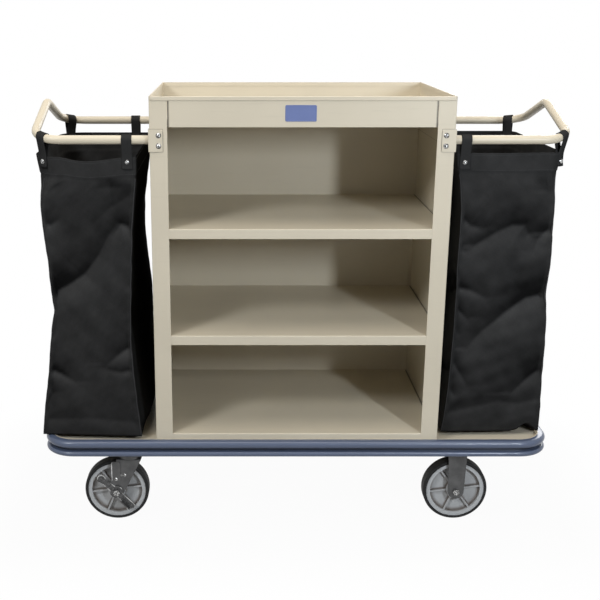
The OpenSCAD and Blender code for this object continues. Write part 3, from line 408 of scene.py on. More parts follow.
def vinyl_finish(colours, groove):
    """Extruded vinyl: soft gloss, drawn lines along the strip, pale rub marks, and a painted shade with
    some soiling in the groove between its beads, whose height is given."""
    finish = Finish("slate_vinyl", Specular_IOR_Level=0.5)
    z = finish.axes[2]
    drawn = finish.noise(900.0, 1.0, vector=finish.joined(0.0, 0.0, z))
    cloud = finish.noise(5.0, 3.0)
    rub = finish.noise(38.0, 5.0, 0.7).step(0.60, 0.74)
    # Painted shade, with some soiling, that darkens the groove between the beads.
    shade_and_dirt = 1 - abs(z - groove).step(0.3 * GROOVE_W, GROOVE_W)
    base = finish.tones(cloud, colours.vinyl, 0.9, 1.1)
    base = finish.blend(rub * 0.1, base, shade(colours.vinyl, 1.6))
    base = finish.blend(shade_and_dirt * 0.9, base, shade(colours.vinyl, 0.12))
    rough = 0.26 + rub * 0.12 + cloud * 0.06
    return finish.made(drawn + rub * 0.2, 0.06, 0.0004, Base_Color=base, Roughness=rough)


def steel_finish(name, colours, edge=None):
    """Plated steel: fine rolling grain, cloudy plating and slight tarnish. edge is the place along X of
    an edge that gets a painted highlight, drawn as plating gone bright."""
    finish = Finish(name)
    x, y, z = finish.axes
    cloud = finish.noise(26.0, 4.0, 0.6)
    grain = finish.noise(260.0, vector=finish.joined(x * 4.0, y * 4.0, z * 0.35))
    base = finish.tones(cloud.step(0.25, 0.75), colours.steel, 0.72, 1.25)
    # Painted highlight in a band along the edge, broken up by the cloudiness.
    if edge is not None:
        edge_highlight = 1 - x.step(edge + 0.5 * EDGE_LIGHT_W, edge + 1.5 * EDGE_LIGHT_W)
        base = finish.blend(edge_highlight * cloud.step(0.3, 0.6), base, shade(colours.zinc, 2.0))
    return finish.made(
        grain, 0.08, 0.0004, Base_Color=base, Metallic=0.55 + cloud * 0.25,
        Roughness=0.34 + grain * 0.16 + cloud * 0.08,
    )


def zinc_finish(colours):
    """Bright zinc: small dull grain, and patches where the plating has gone dark."""
    finish = Finish("bright_zinc")
    dull = finish.noise(160.0, 3.0)
    patch = finish.noise(230.0, 1.0).step(0.40, 0.60)
    return finish.made(
        dull, 0.06, 0.0003, Base_Color=finish.tones(patch, colours.zinc, 0.22, 1.25),
        Metallic=0.9 + dull * 0.1, Roughness=0.16 + dull * 0.2,
    )


def axle_of(wheel):
    """Middle of a wheel."""
    low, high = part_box(wheel + "_tyre")
    return (low + high) / 2


def from_axle(finish, axle):
    """Place seen from an axle along Y: across, up, and the distance."""
    across, up = finish.axes[0] - axle.x, finish.axes[2] - axle.z
    return across, up, across.length(up)


def lever_finish(name, colours, axle):
    """Plated brake lever: cast speckle, and painted highlights in broken patches along the edges, drawn as
    plating gone bright. A point's distance from the outline is the least one from the eye, the two straight
    arms and their round ends."""
    finish = Finish(name)
    across, up, radius = from_axle(finish, axle)
    outside = radius - LEVER_EYE_R
    for angle, reach, end_r in LEVER_ARMS:
        along = across * math.cos(angle) + up * math.sin(angle)
        aside = up * math.cos(angle) - across * math.sin(angle)
        past = along - along.higher(0.0).lower(reach)
        arm = past.length(aside) - LEVER_W / 2
        end = (along - reach).length(aside) - end_r
        outside = outside.lower(arm.lower(end))
    speck = finish.noise(380.0, 3.0).step(0.42, 0.66)
    # Painted highlight in broken patches along the outline; it also raises the metal and lowers the
    # roughness there.
    wear_and_highlight = outside.step(-EDGE_LIGHT_W, -0.3 * EDGE_LIGHT_W) * finish.noise(48.0).step(0.44, 0.58)
    base = finish.tones(speck, colours.steel, 0.55, 1.5)
    base = finish.blend(wear_and_highlight, base, shade(colours.zinc, 2.0))
    return finish.made(
        speck, 0.2, 0.0005, Base_Color=base, Metallic=0.6 + wear_and_highlight * 0.3,
        Roughness=0.36 + speck * 0.1 - wear_and_highlight * 0.16,
    )


def core_finish(name, colours, axle):
    """Moulded nylon: mould texture, and a brown painted shade with some soiling in the recess, darkest in
    the corners by the hub, the ribs and the rim.
    """
    finish = Finish(name, Specular_IOR_Level=0.4)
    across, up, radius = from_axle(finish, axle)
    dust = finish.noise(45.0, 4.0, 0.6)
    grain = finish.noise(900.0, 1.0)
    turn = up.angle(across) - RIB_TURN
    beside = abs((turn * (RIB_COUNT / 2)).sine()) * radius / (RIB_COUNT / 2)
    # Painted shade in a brown tint, with some soiling, in the recess: faint all over its depth, and darkest
    # near the rim, the hub and the ribs.
    deep = (RIM_HALF_W - abs(finish.axes[1] - axle.y)).step(*DEEP_SHADE)
    corner = radius.step(RIM_R - RIM_SHADE, RIM_R)
    corner = corner.higher(1 - radius.step(HUB_R, HUB_R + HUB_SHADE))
    corner = corner.higher(1 - beside.step(*RIB_SHADE))
    base = finish.tones(dust * 0.6, colours.core, 1.06, 0.9)
    base = finish.blend(deep * (0.12 + corner * (0.45 + dust * 0.4)), base, colours.grime_and_shade)
    return finish.made(grain + dust * 0.5, 0.10, 0.0004, Base_Color=base, Roughness=0.42 + dust * 0.2)


def tyre_finish(name, colours, axle):
    """Rubber: fine turned lines on the side wall, and a dusty running face."""
    finish = Finish(name, Specular_IOR_Level=0.2)
    radius = from_axle(finish, axle)[2]
    lines = (radius * (2 * math.pi / TURNED_PITCH)).sine()
    dust = finish.noise(70.0, 5.0, 0.65)
    base = finish.tones(dust * 0.35 + radius.step(*RUNNING_R) * 0.25, colours.tyre, 1.0, 2.6)
    return finish.made(lines * 0.35 + dust, 0.12, 0.0005, Base_Color=base, Roughness=0.56 + dust * 0.2)


def cloth_finish(name, rgb, pitch, rib=1.0, fold_lit=False):
    """Plain weave on the cloth's own metres: crossing threads, slubs, a bloom of wear, and painted light
    and shade from the piece's fold light where the piece says so."""
    finish = Finish(name, Specular_IOR_Level=0.0)
    u, v, _ = finish.parts(finish.node("ShaderNodeUVMap", {"uv_map": "cloth"}, None, "UV"))
    turn = 2 * math.pi / pitch
    weave = (u * turn).sine() * (v * turn * rib).sine()
    slub = finish.noise(90.0, 3.0, vector=finish.joined(u * 14.0, v, 0.0))
    slub = slub + finish.noise(90.0, 3.0, vector=finish.joined(u, v * 14.0, 5.0))
    bloom = finish.noise(7.0, 4.0, 0.6)
    light = (0.35 + weave * 0.12 + (slub - 1.0) * 0.55 + (bloom - 0.5) * 0.5).step(-0.2, 1.1)
    # With the fold light, the colour runs from a painted shade where it is 0 to a painted light where it is
    # 1.
    base = finish.tones(light, rgb, *((0.2, 0.5) if fold_lit else (0.62, 1.55)))
    if fold_lit:
        fade = finish.node("ShaderNodeAttribute", {"attribute_name": "fade"}, None, "Fac")
        base = finish.blend(fade, base, finish.tones(light, rgb, 1.2, 2.4))
    return finish.made(
        weave * 0.5 + slub * 0.6, 0.30, 0.0005, Base_Color=base, Roughness=0.62 - bloom * 0.14
    )


def plate_finish(colours):
    """Painted plate: brushed lines under a thin clear coat."""
    finish = Finish("label_blue", Coat_Roughness=0.12)
    x, y, z = finish.axes
    brushed = finish.noise(700.0, vector=finish.joined(x * 0.2, y, z * 9.0))
    cloud = finish.noise(30.0)
    base = finish.tones(cloud, colours.plate, 0.92, 1.08)
    base = finish.blend(brushed * 0.25, base, shade(colours.plate, 0.8))
    return finish.made(
        brushed, 0.05, 0.0003, Base_Color=base, Roughness=0.30 + brushed * 0.15,
        Coat_Weight=0.25 + cloud * 0.1,
    )


def thread_finish(colours):
    """Twisted thread."""
    finish = Finish("hem_thread", Specular_IOR_Level=0.3)
    twist = finish.noise(1400.0, 1.0)
    base = finish.tones(twist, colours.thread, 0.7, 1.3)
    return finish.made(twist, 0.2, 0.0003, Base_Color=base, Roughness=0.6 + twist * 0.2)


def dress(nodes, material):
    """Gives CAD nodes one material."""
    for name in nodes:
        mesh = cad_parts[name].data
        mesh.materials.clear()
        mesh.materials.append(material)


# Surfaces


def grid_faces(rows, columns, closed):
    """Four-sided faces between the points of a grid, joined round where the grid is closed."""
    row = np.arange(rows - 1)[:, None] * columns
    column = np.arange(columns if closed else columns - 1)[None, :]
    beside = (column + 1) % columns
    corners = [row + column, row + beside, row + columns + beside, row + columns + column]
    return np.stack(corners, axis=-1).reshape(-1, 4)


def mesh_piece(name, points, faces, material, smooth=True):
    """Piece from points and faces, in the scene."""
    mesh = bpy.data.meshes.new(name)
    mesh.from_pydata(points.reshape(-1, 3).tolist(), [], faces)
    mesh.polygons.foreach_set("use_smooth", np.full(len(mesh.polygons), smooth))
    mesh.materials.append(material)
    mesh.update()
    piece = bpy.data.objects.new(name, mesh)
    bpy.context.scene.collection.objects.link(piece)
    return piece


def surface_piece(name, points, material, closed=True, cloth=None, fade=None, caps=(), smooth=True):
    """Piece from a grid of points, with its cloth metres as a UV map, its painted fold light as an
    attribute and flat end caps. points is rows by columns by 3, and caps holds 0 for the first row and -1
    for the last."""
    rows, columns = points.shape[:2]
    faces = grid_faces(rows, columns, closed).tolist()
    if 0 in caps:
        faces.append(list(range(columns))[::-1])
    if -1 in caps:
        faces.append(list(range((rows - 1) * columns, rows * columns)))
    piece = mesh_piece(name, points, faces, material, smooth)
    mesh = piece.data
    if cloth is not None:
        corner = np.zeros(len(mesh.loops), np.int32)
        mesh.loops.foreach_get("vertex_index", corner)
        layer = mesh.uv_layers.new(name="cloth")
        layer.data.foreach_set("uv", cloth.reshape(-1, 2)[corner].astype(np.float32).ravel())
    if fade is not None:
        layer = mesh.attributes.new("fade", "FLOAT", "POINT")
        layer.data.foreach_set("value", fade.astype(np.float32).ravel())
    return piece


def join_pieces(name, pieces):
    """One piece from several, for what is repeated on one node."""
    with bpy.context.temp_override(active_object=pieces[0], selected_editable_objects=pieces):
        bpy.ops.object.join()
    pieces[0].name = name
    pieces[0].data.name = name
    return pieces[0]


def run_lengths(line):
    """Distance along a line of points, at each of them."""
    return np.concatenate([[0], np.cumsum(np.linalg.norm(np.diff(line, axis=0), axis=1))])


def rounded_line(heights, knots, values, window):
    """Straight lines between knots, averaged over a sliding window so that the knots round off."""
    reach = np.linspace(-0.5, 0.5, WINDOW_STEPS) * window
    samples = np.interp(heights[:, None] + reach[None, :], knots, values)
    weight = np.cos(np.pi * reach / window) ** 2
    return (samples * weight).sum(1) / weight.sum()


def bag_columns(side_steps, corner_steps):
    """Columns of a bag's outline from above: the front, high X, rear and low X sides, with a corner
    after each. Gives each column's side number, its share along the side or round the corner, and
    whether it is in the corner."""
    kind, share, corner = [], [], []
    for i, steps in enumerate(side_steps):
        kind += [i] * (steps + corner_steps)
        share += list(np.arange(steps) / steps) + list(np.arange(corner_steps) / corner_steps)
        corner += [False] * steps + [True] * corner_steps
    return np.array(kind), np.array(share), np.array(corner)


def bag_outline(sides, radii, columns):
    """Rounded four-sided outlines, one per row, walked from the front left corner towards +X.
    Along a side a point runs straight between the two corners' arcs; round a corner it turns
    through a quarter circle. Also gives the outward direction of each column."""
    kind, share, corner = columns
    corner_x = np.stack([sides[k] for k in ("high_x", "rear_high_x", "rear_low_x", "low_x")])
    corner_y = np.stack([sides[k] for k in ("front_high_x", "high_y", "high_y", "front_low_x")])
    centre_x = corner_x + radii * np.array([-1, -1, 1, 1])[:, None]
    centre_y = corner_y + radii * np.array([1, -1, -1, 1])[:, None]
    turn = np.where(corner, share, 0.0) * np.pi / 2
    angle = (kind - 1) * np.pi / 2 + turn
    out = np.stack([np.cos(angle), np.sin(angle)])
    before = (kind - 1) % 4
    start = np.stack([centre_x[before].T, centre_y[before].T]) + radii[before].T * out[:, None, :]
    end = np.stack([centre_x[kind].T, centre_y[kind].T]) + radii[kind].T * out[:, None, :]
    along = np.where(corner, 1.0, share)
    flat = start + (end - start) * along
    return flat[0], flat[1], out


def fold_lines(along, up, folds):
    """Sum of folds. Each is a line of points with a depth at its start and at its end: the cloth
    goes in by that depth on the line, and comes out again over a reach above and below it."""
    total = np.zeros_like(along)
    for points, first, last, above, below in folds:
        line = np.array(points) * MM
        run = np.diff(line, axis=0)
        size = np.linalg.norm(run, axis=1)
        passed = run_lengths(line)
        apart, over, rise = np.full(along.shape, np.inf), np.zeros_like(along), np.zeros_like(along)
        for i in range(len(run)):
            a, b = along - line[i, 0], up - line[i, 1]
            share = np.clip((a * run[i, 0] + b * run[i, 1]) / size[i] ** 2, 0, 1)
            away = np.hypot(a - share * run[i, 0], b - share * run[i, 1])
            nearer = away < apart
            apart = np.where(nearer, away, apart)
            over = np.where(nearer, (passed[i] + share * size[i]) / passed[-1], over)
            rise = np.where(nearer, b - share * run[i, 1], rise)
        reach = np.where(rise > 0, above, below) * MM
        total -= (first + (last - first) * over) * MM * np.exp(-((apart / reach) ** CREASE_POWER))
    return total


def round_corners(push, columns):
    """Carries the push of the sides' last columns round the corners between them."""
    _, share, corner = columns
    side = np.flatnonzero(~corner)
    column = np.arange(len(corner))
    before = side[np.searchsorted(side, column, side="right") - 1]
    after = side[np.searchsorted(side, column) % len(side)]
    weight = np.where(corner, share, 0.0)
    return push[:, before] * (1 - weight) + push[:, after] * weight


def ripples(along, up, seed, step, count, size, height):
    """Sum of slow waves with seeded directions, for the slack in the cloth. step is added to the seed."""
    draw = np.random.default_rng(seed + step)
    total = np.zeros_like(along)
    for _ in range(count):
        turn, phase = draw.uniform(0, 2 * np.pi, 2)
        wave = size * draw.uniform(*WAVE_SPREAD)
        total += np.sin(2 * np.pi * (along * np.cos(turn) + up * np.sin(turn)) / wave + phase)
    return total * height / math.sqrt(count)


# Knots run from the base up. Heights and places are millimetres in the cart's frame. A fold is its
# points, its depth at the first and at the last one, and its reach above and below the line. The
# straps of the front (-1) and of the rear (1) are the inner one's X and the outer one's turn in degrees.
LEFT_BAG = {
    "name": "left_bag",
    "side": -1,
    "heights": (295, 390, 500, 600, 655, 700, 746, 850, 960, 1081, 1140, 1166),
    "low_x": (-791, -780, -764, -752, -745, -737, -747, -747, -757, -762, -772, -776),
    "high_x": (-481, -492, -502, -507, -506, -505, -503, -499, -492, -481, -478, -478),
    "rear_low_x": (-788, -780, -770, -762, -757, -753, -750, -750, -757, -762, -772, -776),
    "rear_high_x": (-478, -479, -481, -483, -484, -488, -494, -503, -500, -483, -478, -478),
    "low_y": (-256, -258, -258, -258, -258, -258, -259, -261, -263, -266, -267, -267),
    "high_y": (254, 254, 254, 254, 254, 254, 256, 258, 260, 265, 267, 267),
    "bends": (0, 0, 73, 73),
    "skew": 18,
    "top": 1164,
    "sag": 13,
    "rear_rise": 8,
    "lift": (-600, 60, 0),
    # Scale of the painted light on the side that faces the cabinet: this one darkens it.
    "inner_side_light": 0.2,
    "straps": {-1: (-502, 38), 1: (-526, 38)},
    "seed": 7,
    "front": (
        (((-752, 742), (-684, 781), (-642, 809), (-600, 865), (-571, 920), (-543, 961)), 30, 9, 66, 36),
        (((-505, 1046), (-554, 1015), (-609, 967)), 7, 3, 50, 45),
        (((-490, 948), (-529, 961), (-550, 933)), 11, 3, 18, 15),
        (((-503, 584), (-542, 559), (-585, 526)), 15, 3, 32, 17),
        (((-500, 509), (-544, 500), (-592, 511)), 8, 3, 20, 13),
        (((-766, 509), (-725, 493), (-684, 470)), 15, 4, 26, 16),
        (((-768, 462), (-757, 430), (-769, 400)), 9, 6, 14, 11),
        (((-760, 1082), (-717, 1078), (-696, 1088)), 6, 2, 22, 15),
        (((-760, 968), (-736, 961), (-715, 974)), 9, 3, 17, 13),
        (((-556, 1108), (-553, 1020)), 8, 4, 26, 26),
        (((-770, 345), (-640, 352), (-500, 338)), 3, 3, 30, 30),
    ),
    "inner": (
        (((150, 925), (60, 900), (-60, 850)), 9, 4, 60, 50),
        (((-250, 690), (-60, 600), (120, 560)), 14, 5, 60, 45),
        (((230, 520), (60, 470)), 10, 4, 40, 30),
        (((-170, 330), (200, 330)), -27, -20, 110, 80),
    ),
    "outer": (
        (((-250, 742), (-120, 760), (20, 800)), 20, 6, 70, 40),
        (((240, 700), (60, 640)), 14, 5, 50, 40),
        (((-200, 480), (0, 450)), 10, 4, 40, 30),
    ),
    "rear": (
        (((-750, 760), (-640, 700), (-520, 640)), 18, 6, 60, 36),
        (((-500, 900), (-600, 860)), 12, 4, 40, 26),
        (((-760, 500), (-640, 470)), 10, 3, 26, 18),
    ),
}
RIGHT_BAG = {
    "name": "right_bag",
    "side": 1,
    "heights": (295, 340, 416, 535, 644, 748, 822, 932, 1014, 1094, 1140, 1166),
    "low_x": (456, 462, 468, 472, 475, 472, 471, 472, 471, 462, 450, 447),
    "high_x": (765, 764, 763, 760, 756, 749, 750, 748, 745, 744, 750, 752),
    "rear_low_x": (452, 454, 456, 458, 460, 462, 464, 464, 462, 456, 449, 447),
    "rear_high_x": (765, 764, 763, 760, 757, 752, 752, 750, 747, 746, 750, 752),
    "low_y": (-228, -232, -236, -241, -245, -250, -254, -258, -262, -265, -267, -267),
    "high_y": (246, 247, 248, 250, 252, 254, 256, 260, 263, 265, 267, 267),
    "bends": (34, 34, 0, 0),
    "skew": 8,
    "top": 1177,
    "sag": 2,
    "rear_rise": 0,
    "lift": (727, 26, 26),
    # Scale of the painted light on the side that faces the cabinet: this one lightens it.
    "inner_side_light": 2.2,
    "straps": {-1: (471, 45), 1: (471, 24)},
    "seed": 19,
    "front": (
        (((756, 748), (689, 730), (625, 680), (560, 623), (522, 572)), 26, 8, 62, 32),
        (((679, 932), (667, 959), (630, 959), (591, 942), (521, 898)), 13, 10, 44, 28),
        (((750, 958), (707, 918), (697, 877)), 14, 5, 28, 20),
        (((745, 1114), (728, 1060), (739, 1014)), 10, 6, 24, 16),
        (((769, 513), (717, 468), (672, 424)), 17, 6, 40, 22),
        (((468, 990), (503, 959), (544, 949)), 13, 3, 24, 15),
        (((466, 900), (490, 880)), 10, 4, 15, 12),
        (((468, 770), (517, 758), (566, 734)), 13, 3, 24, 15),
        (((466, 715), (501, 680), (516, 666)), 12, 4, 20, 13),
        (((466, 640), (490, 618)), 10, 4, 15, 12),
        (((466, 550), (499, 498), (530, 446)), 14, 3, 24, 15),
        (((464, 458), (490, 416)), 12, 5, 15, 12),
        (((460, 356), (556, 378), (632, 397), (696, 386), (765, 401)), 6, 6, 40, 34),
    ),
    "inner": (
        (((-240, 760), (-60, 700), (120, 620)), 16, 5, 60, 50),
        (((230, 900), (60, 860)), 14, 5, 60, 40),
        (((-200, 480), (0, 440)), 10, 4, 40, 30),
    ),
    "outer": (
        (((-240, 748), (-100, 720), (60, 660)), 20, 6, 60, 36),
        (((240, 880), (90, 820)), 13, 4, 50, 36),
        (((-180, 500), (40, 450)), 11, 4, 40, 30),
    ),
    "rear": (
        (((480, 800), (600, 740), (740, 700)), 16, 6, 60, 36),
        (((740, 560), (640, 500)), 12, 4, 40, 26),
        (((480, 560), (560, 500)), 10, 3, 26, 18),
    ),
}
SIDE_STEPS = (60, 64, 60, 64)
CORNER_STEPS = 8
WALL_ROWS = 134
HEM_ROWS = 18
BASE_ROWS = 10
BASE_HOLE = 0.02
SEWN_CORNER = 6 * MM
FOLD_WINDOW = 44 * MM
WINDOW_STEPS = 21
SKEW_H = 300 * MM
BEND_LOW = 1.02
BEND_EASE = 1.5
FOLD_DEPTH = 1.05
CREASE_POWER = 1.12
# The hem and the base hold the cloth over a height, and the corners over a share of a side.
HEM_HOLD = 30 * MM
BASE_HOLD = 50 * MM
CORNER_HOLD = 0.035
CORNER_FOLD = 0.12
# Waves: what is added to the bag's seed, their count, their length and their height.
SLACK_WAVES = ((0, 7, 0.26, 2.2 * MM), (1, 9, 0.08, 0.5 * MM))
PUCKER_WAVES = (2, 6, 0.05, 0.6 * MM)
PUCKER_STRETCH = 0.3
PUCKER_SHARE = 0.05
WAVE_SPREAD = (0.6, 1.6)
# Waves in the painted fold light.
FOLD_LIGHT_WAVES = ((3, 12, 0.09, 0.045), (4, 12, 0.035, 0.03))
# Painted fold light of flat cloth, what a slope of 1 adds, the push that adds 1, and what a metre of height
# adds.
FOLD_LIGHT_FLAT = 0.45
FOLD_LIGHT_SLOPE = 1.4
FOLD_LIGHT_PUSH = 65 * MM
FOLD_LIGHT_HEIGHT = 0.2
HEM_EDGE = 2.5 * MM
HEM_GROOVE = 0.5 * MM
SAG_LEAN = 0.75
SAG_REACH = 100 * MM
LIFT_H = 50 * MM
# Stitches: their pitch in lengths, rings and sides, the radius of their ends, and the hem's sewn rows.
STITCH_PITCH = 1.35
STITCH_RINGS = 5
STITCH_SIDES = 6
STITCH_END = 0.25
HEM_SEAMS = (2, HEM_ROWS - 3)
CORD_SIDES = 8
CORD_OUT = 0.6


def bag_sides(spec, bags, heights):
    """Places of a bag's sides at each height, with the inner end of the front drawn forward at the base."""
    knots = np.array(spec["heights"]) * MM
    sides = {
        k: rounded_line(heights, knots, np.array(spec[k]) * MM, FOLD_WINDOW)
        for k in ("low_x", "high_x", "rear_low_x", "rear_high_x", "low_y", "high_y")
    }
    skew = spec["skew"] * MM * np.clip(1 - (heights - bags.base_z) / SKEW_H, 0, 1)
    sides["front_high_x"] = sides["low_y"] - skew * (spec["side"] < 0)
    sides["front_low_x"] = sides["low_y"] - skew * (spec["side"] > 0)
    return sides


def bag_points(spec, bags):
    """Shell of one bag: rounded rectangles stacked from the base to the mouth, pushed in and out
    along their outward directions by the folds, the slack and the doubled hem.
    The base is the lowest outline drawn in to its middle. Gives the points, the cloth's metres, the
    painted light and shade on the cloth (lighter where it faces up and stands out), the hem's first row,
    and each corner's line with its outward direction."""
    columns = bag_columns(SIDE_STEPS, CORNER_STEPS)
    kind, share, corner = columns
    seed = spec["seed"]
    top = spec["top"] * MM
    hem_low = top - bags.hem_h
    heights = np.concatenate([
        np.linspace(bags.base_z, hem_low, WALL_ROWS, endpoint=False),
        np.linspace(hem_low, top, HEM_ROWS),
    ])
    eased = np.clip((heights - BEND_LOW) / (hem_low - BEND_LOW), 0, 1) ** BEND_EASE
    radii = np.stack([
        SEWN_CORNER + max(bend * MM - SEWN_CORNER, 0) * eased for bend in spec["bends"]
    ])
    x, y, out = bag_outline(bag_sides(spec, bags, heights), radii, columns)
    up = np.repeat(heights[:, None], x.shape[1], axis=1)

    front, high_side, rear, low_side = (((kind == i) & ~corner) for i in range(4))
    inner, outer = (high_side, low_side)[::-spec["side"]]
    push = fold_lines(x, up, spec["front"]) * front + fold_lines(x, up, spec["rear"]) * rear
    push += fold_lines(y, up, spec["inner"]) * inner + fold_lines(y, up, spec["outer"]) * outer
    around = np.cumsum(np.hypot(np.diff(x[0], append=x[0, :1]), np.diff(y[0], append=y[0, :1])))
    along = np.repeat((around - around[0])[None, :], len(heights), axis=0)
    slack = sum(ripples(along, up, seed, *wave) for wave in SLACK_WAVES)
    pucker = ripples(along * PUCKER_STRETCH, up, seed, *PUCKER_WAVES)
    held = 1 - np.clip((up - hem_low + HEM_HOLD) / HEM_HOLD, 0, 1)
    held *= np.clip((up - bags.base_z) / BASE_HOLD, 0, 1)
    to_corner = np.minimum(share, 1 - share) * ~corner
    edge = np.clip(to_corner / CORNER_HOLD, 0, 1)
    push = FOLD_DEPTH * push * (CORNER_FOLD + (1 - CORNER_FOLD) * edge) + slack * edge
    push += pucker * np.exp(-((to_corner / PUCKER_SHARE) ** 2))
    push = round_corners(push * held, columns)
    slope = -np.gradient(push, axis=0) / np.gradient(heights)[:, None]
    # Painted light and shade on the cloth: lighter where it faces up, stands out and is higher, darker in
    # the hollows, and scaled on the side that faces the cabinet.
    fade = FOLD_LIGHT_FLAT + FOLD_LIGHT_SLOPE * slope + push / FOLD_LIGHT_PUSH + FOLD_LIGHT_HEIGHT * (up - bags.base_z)
    fade += sum(ripples(along, up, seed, *wave) for wave in FOLD_LIGHT_WAVES)
    fade = np.clip(np.clip(fade, 0, 1) * np.where(inner, spec["inner_side_light"], 1.0), 0, 1)
    over_hem = (up - hem_low) / HEM_EDGE
    push += bags.hem_t * np.clip(over_hem, 0, 1) - HEM_GROOVE * np.exp(-(over_hem ** 2))

    x = x + push * out[0]
    y = y + push * out[1]
    sag = spec["sag"] * MM * np.where(front, np.sin(np.pi * share ** SAG_LEAN) ** 2, 0.0)
    drop = np.clip((up - hem_low + SAG_REACH) / (bags.hem_h + SAG_REACH), 0, 1)
    place, width, rise = np.array(spec["lift"]) * MM
    lift = rise * np.exp(-(((x - place) / width) ** 2) - (up - bags.base_z) / LIFT_H) * front
    behind = np.clip((y - y[-1].min()) / np.ptp(y[-1]), 0, 1)
    z = up + (spec["rear_rise"] * MM * behind - sag) * drop + lift

    draw_in = np.linspace(BASE_HOLE, 1, BASE_ROWS, endpoint=False)[:, None]
    base_x, base_y = (a[0].mean() + (a[0] - a[0].mean()) * draw_in for a in (x, y))
    base_z = bags.base_z + (z[0] - bags.base_z) * draw_in ** 3
    points = np.concatenate([
        np.stack([base_x, base_y, base_z], axis=-1), np.stack([x, y, z], axis=-1)
    ])
    cloth = np.concatenate([
        np.stack([base_x, base_y], axis=-1), np.stack([along, up], axis=-1)
    ])
    fade = np.concatenate([np.zeros_like(base_x), fade])
    hem_row = BASE_ROWS + WALL_ROWS
    middles = np.flatnonzero(corner & (share == 0.5))
    seams = [(points[BASE_ROWS:hem_row, m], out[:, m]) for m in middles]
    return points, cloth, fade, hem_row, seams


def add_wall(piece, thickness):
    """Gives a shell its thickness, inwards."""
    wall = piece.modifiers.new("wall", "SOLIDIFY")
    wall.thickness = thickness
    wall.offset = -1
    return piece


def piping_points(line, out, radius):
    """Round cord carried up a corner of a bag: a circle about each point of the line, in the plane of
    the corner's outward direction and the level line across it."""
    turn = np.linspace(0, 2 * np.pi, CORD_SIDES, endpoint=False)[None, :, None]
    facing = np.array([out[0], out[1], 0.0])
    across = np.array([-out[1], out[0], 0.0])
    points = line[:, None, :] + radius * (facing * (CORD_OUT + np.cos(turn)) + across * np.sin(turn))
    cloth = np.stack(np.broadcast_arrays(radius * turn[..., 0], run_lengths(line)[:, None]), axis=-1)
    return points, cloth


def stitch_row(name, line, bags, material):
    """Row of stitches along a closed level line: each is a spindle whose radius follows a half sine
    from end to end, laid on the cloth and facing outwards."""
    run = np.roll(line, -1, axis=0) - np.roll(line, 1, axis=0)
    outward = np.stack([run[:, 1], -run[:, 0], 0 * run[:, 0]], axis=-1)
    outward = outward / np.linalg.norm(outward, axis=1)[:, None]
    closed, facing = (np.concatenate([a, a[:1]]) for a in (line, outward))
    steps = run_lengths(closed)
    count = int(steps[-1] / (bags.stitch_l * STITCH_PITCH))
    rings = np.linspace(0, 1, STITCH_RINGS)
    where = (np.arange(count) * steps[-1] / count)[:, None] + rings[None, :] * bags.stitch_l
    centre, normal = (
        np.stack([np.interp(where, steps, a[:, i]) for i in range(3)], axis=-1)[:, :, None, :]
        for a in (closed, facing)
    )
    radius = bags.stitch_d / 2 * (STITCH_END + (1 - STITCH_END) * np.sin(np.pi * rings))
    turn = np.linspace(0, 2 * np.pi, STITCH_SIDES, endpoint=False)[:, None]
    rise = np.cos(turn) * normal + np.sin(turn) * np.array([0, 0, -1.0])
    points = centre + rise * radius[:, None, None]
    size = STITCH_RINGS * STITCH_SIDES
    first = (np.arange(count) * size)[:, None]
    walls = grid_faces(STITCH_RINGS, STITCH_SIDES, True).reshape(1, -1) + first
    faces = walls.reshape(-1, 4).tolist()
    for cap in (np.arange(STITCH_SIDES)[::-1], np.arange(size - STITCH_SIDES, size)):
        faces += (cap + first).tolist()
    return mesh_piece(name, points, faces, material)


# Straps


ARC_ROWS = 40
INNER_ROWS = 8
OUTER_ROWS = 10
EDGE_STEPS = 5
FLAT_STEPS = 7
NECK_H = 2 * MM
WALL_PLAY = 0.5 * MM
# The outer tail curls off the cloth, from a depth below the neck and over a height.
TAIL_CURL = 2.5 * MM
CURL_LOW = 24 * MM
CURL_H = 18 * MM


def tangent_angle(radius, point, side):
    """Direction in which a line from a point touches a circle about the origin, on one side of it."""
    return math.atan2(point[1], point[0]) + side * math.acos(radius / math.hypot(*point))


Seat = collections.namedtuple("Seat", "place facing wall wall_bow slope bar_bow")


def straight_seat(bags, x, row):
    """Seat of a strap on a straight bar, at the front (-1) or at the rear (1)."""
    wall = bags.mouth_y - bags.cloth_t / 2 - bags.bar_y
    return Seat((x, row * bags.bar_y, bags.bar_z), (0, row), wall, 0.0, 0.0, 0.0)


def bent_seat(bags, spec, turn, row):
    """Seat of a strap on the corner of a handle, turned outwards by an angle. The bar's axis is a
    circle that climbs towards the end, and the bag's wall is the round corner of its mouth."""
    side = spec["side"]
    edge = max(abs(spec["low_x"][-1]), abs(spec["high_x"][-1])) * MM
    corner = max(spec["bends"]) * MM
    sine, cosine = math.sin(turn), math.cos(turn)
    rise = bags.bend_r * (1 - cosine)
    x = bags.handle_x - bags.bend_r * (1 - sine)
    y = bags.bar_y - rise * math.cos(bags.climb)
    z = bags.bar_z + rise * math.sin(bags.climb)
    wall = (edge - corner - x) * sine + (bags.mouth_y - corner - y) * cosine + corner - bags.cloth_t / 2
    slope = sine * math.sin(bags.climb) / math.hypot(cosine, sine * math.cos(bags.climb))
    return Seat(
        (side * x, row * y, z), (side * sine, row * cosine), wall, 0.5 / corner,
        -side * row * slope, 0.5 / bags.bend_r,
    )


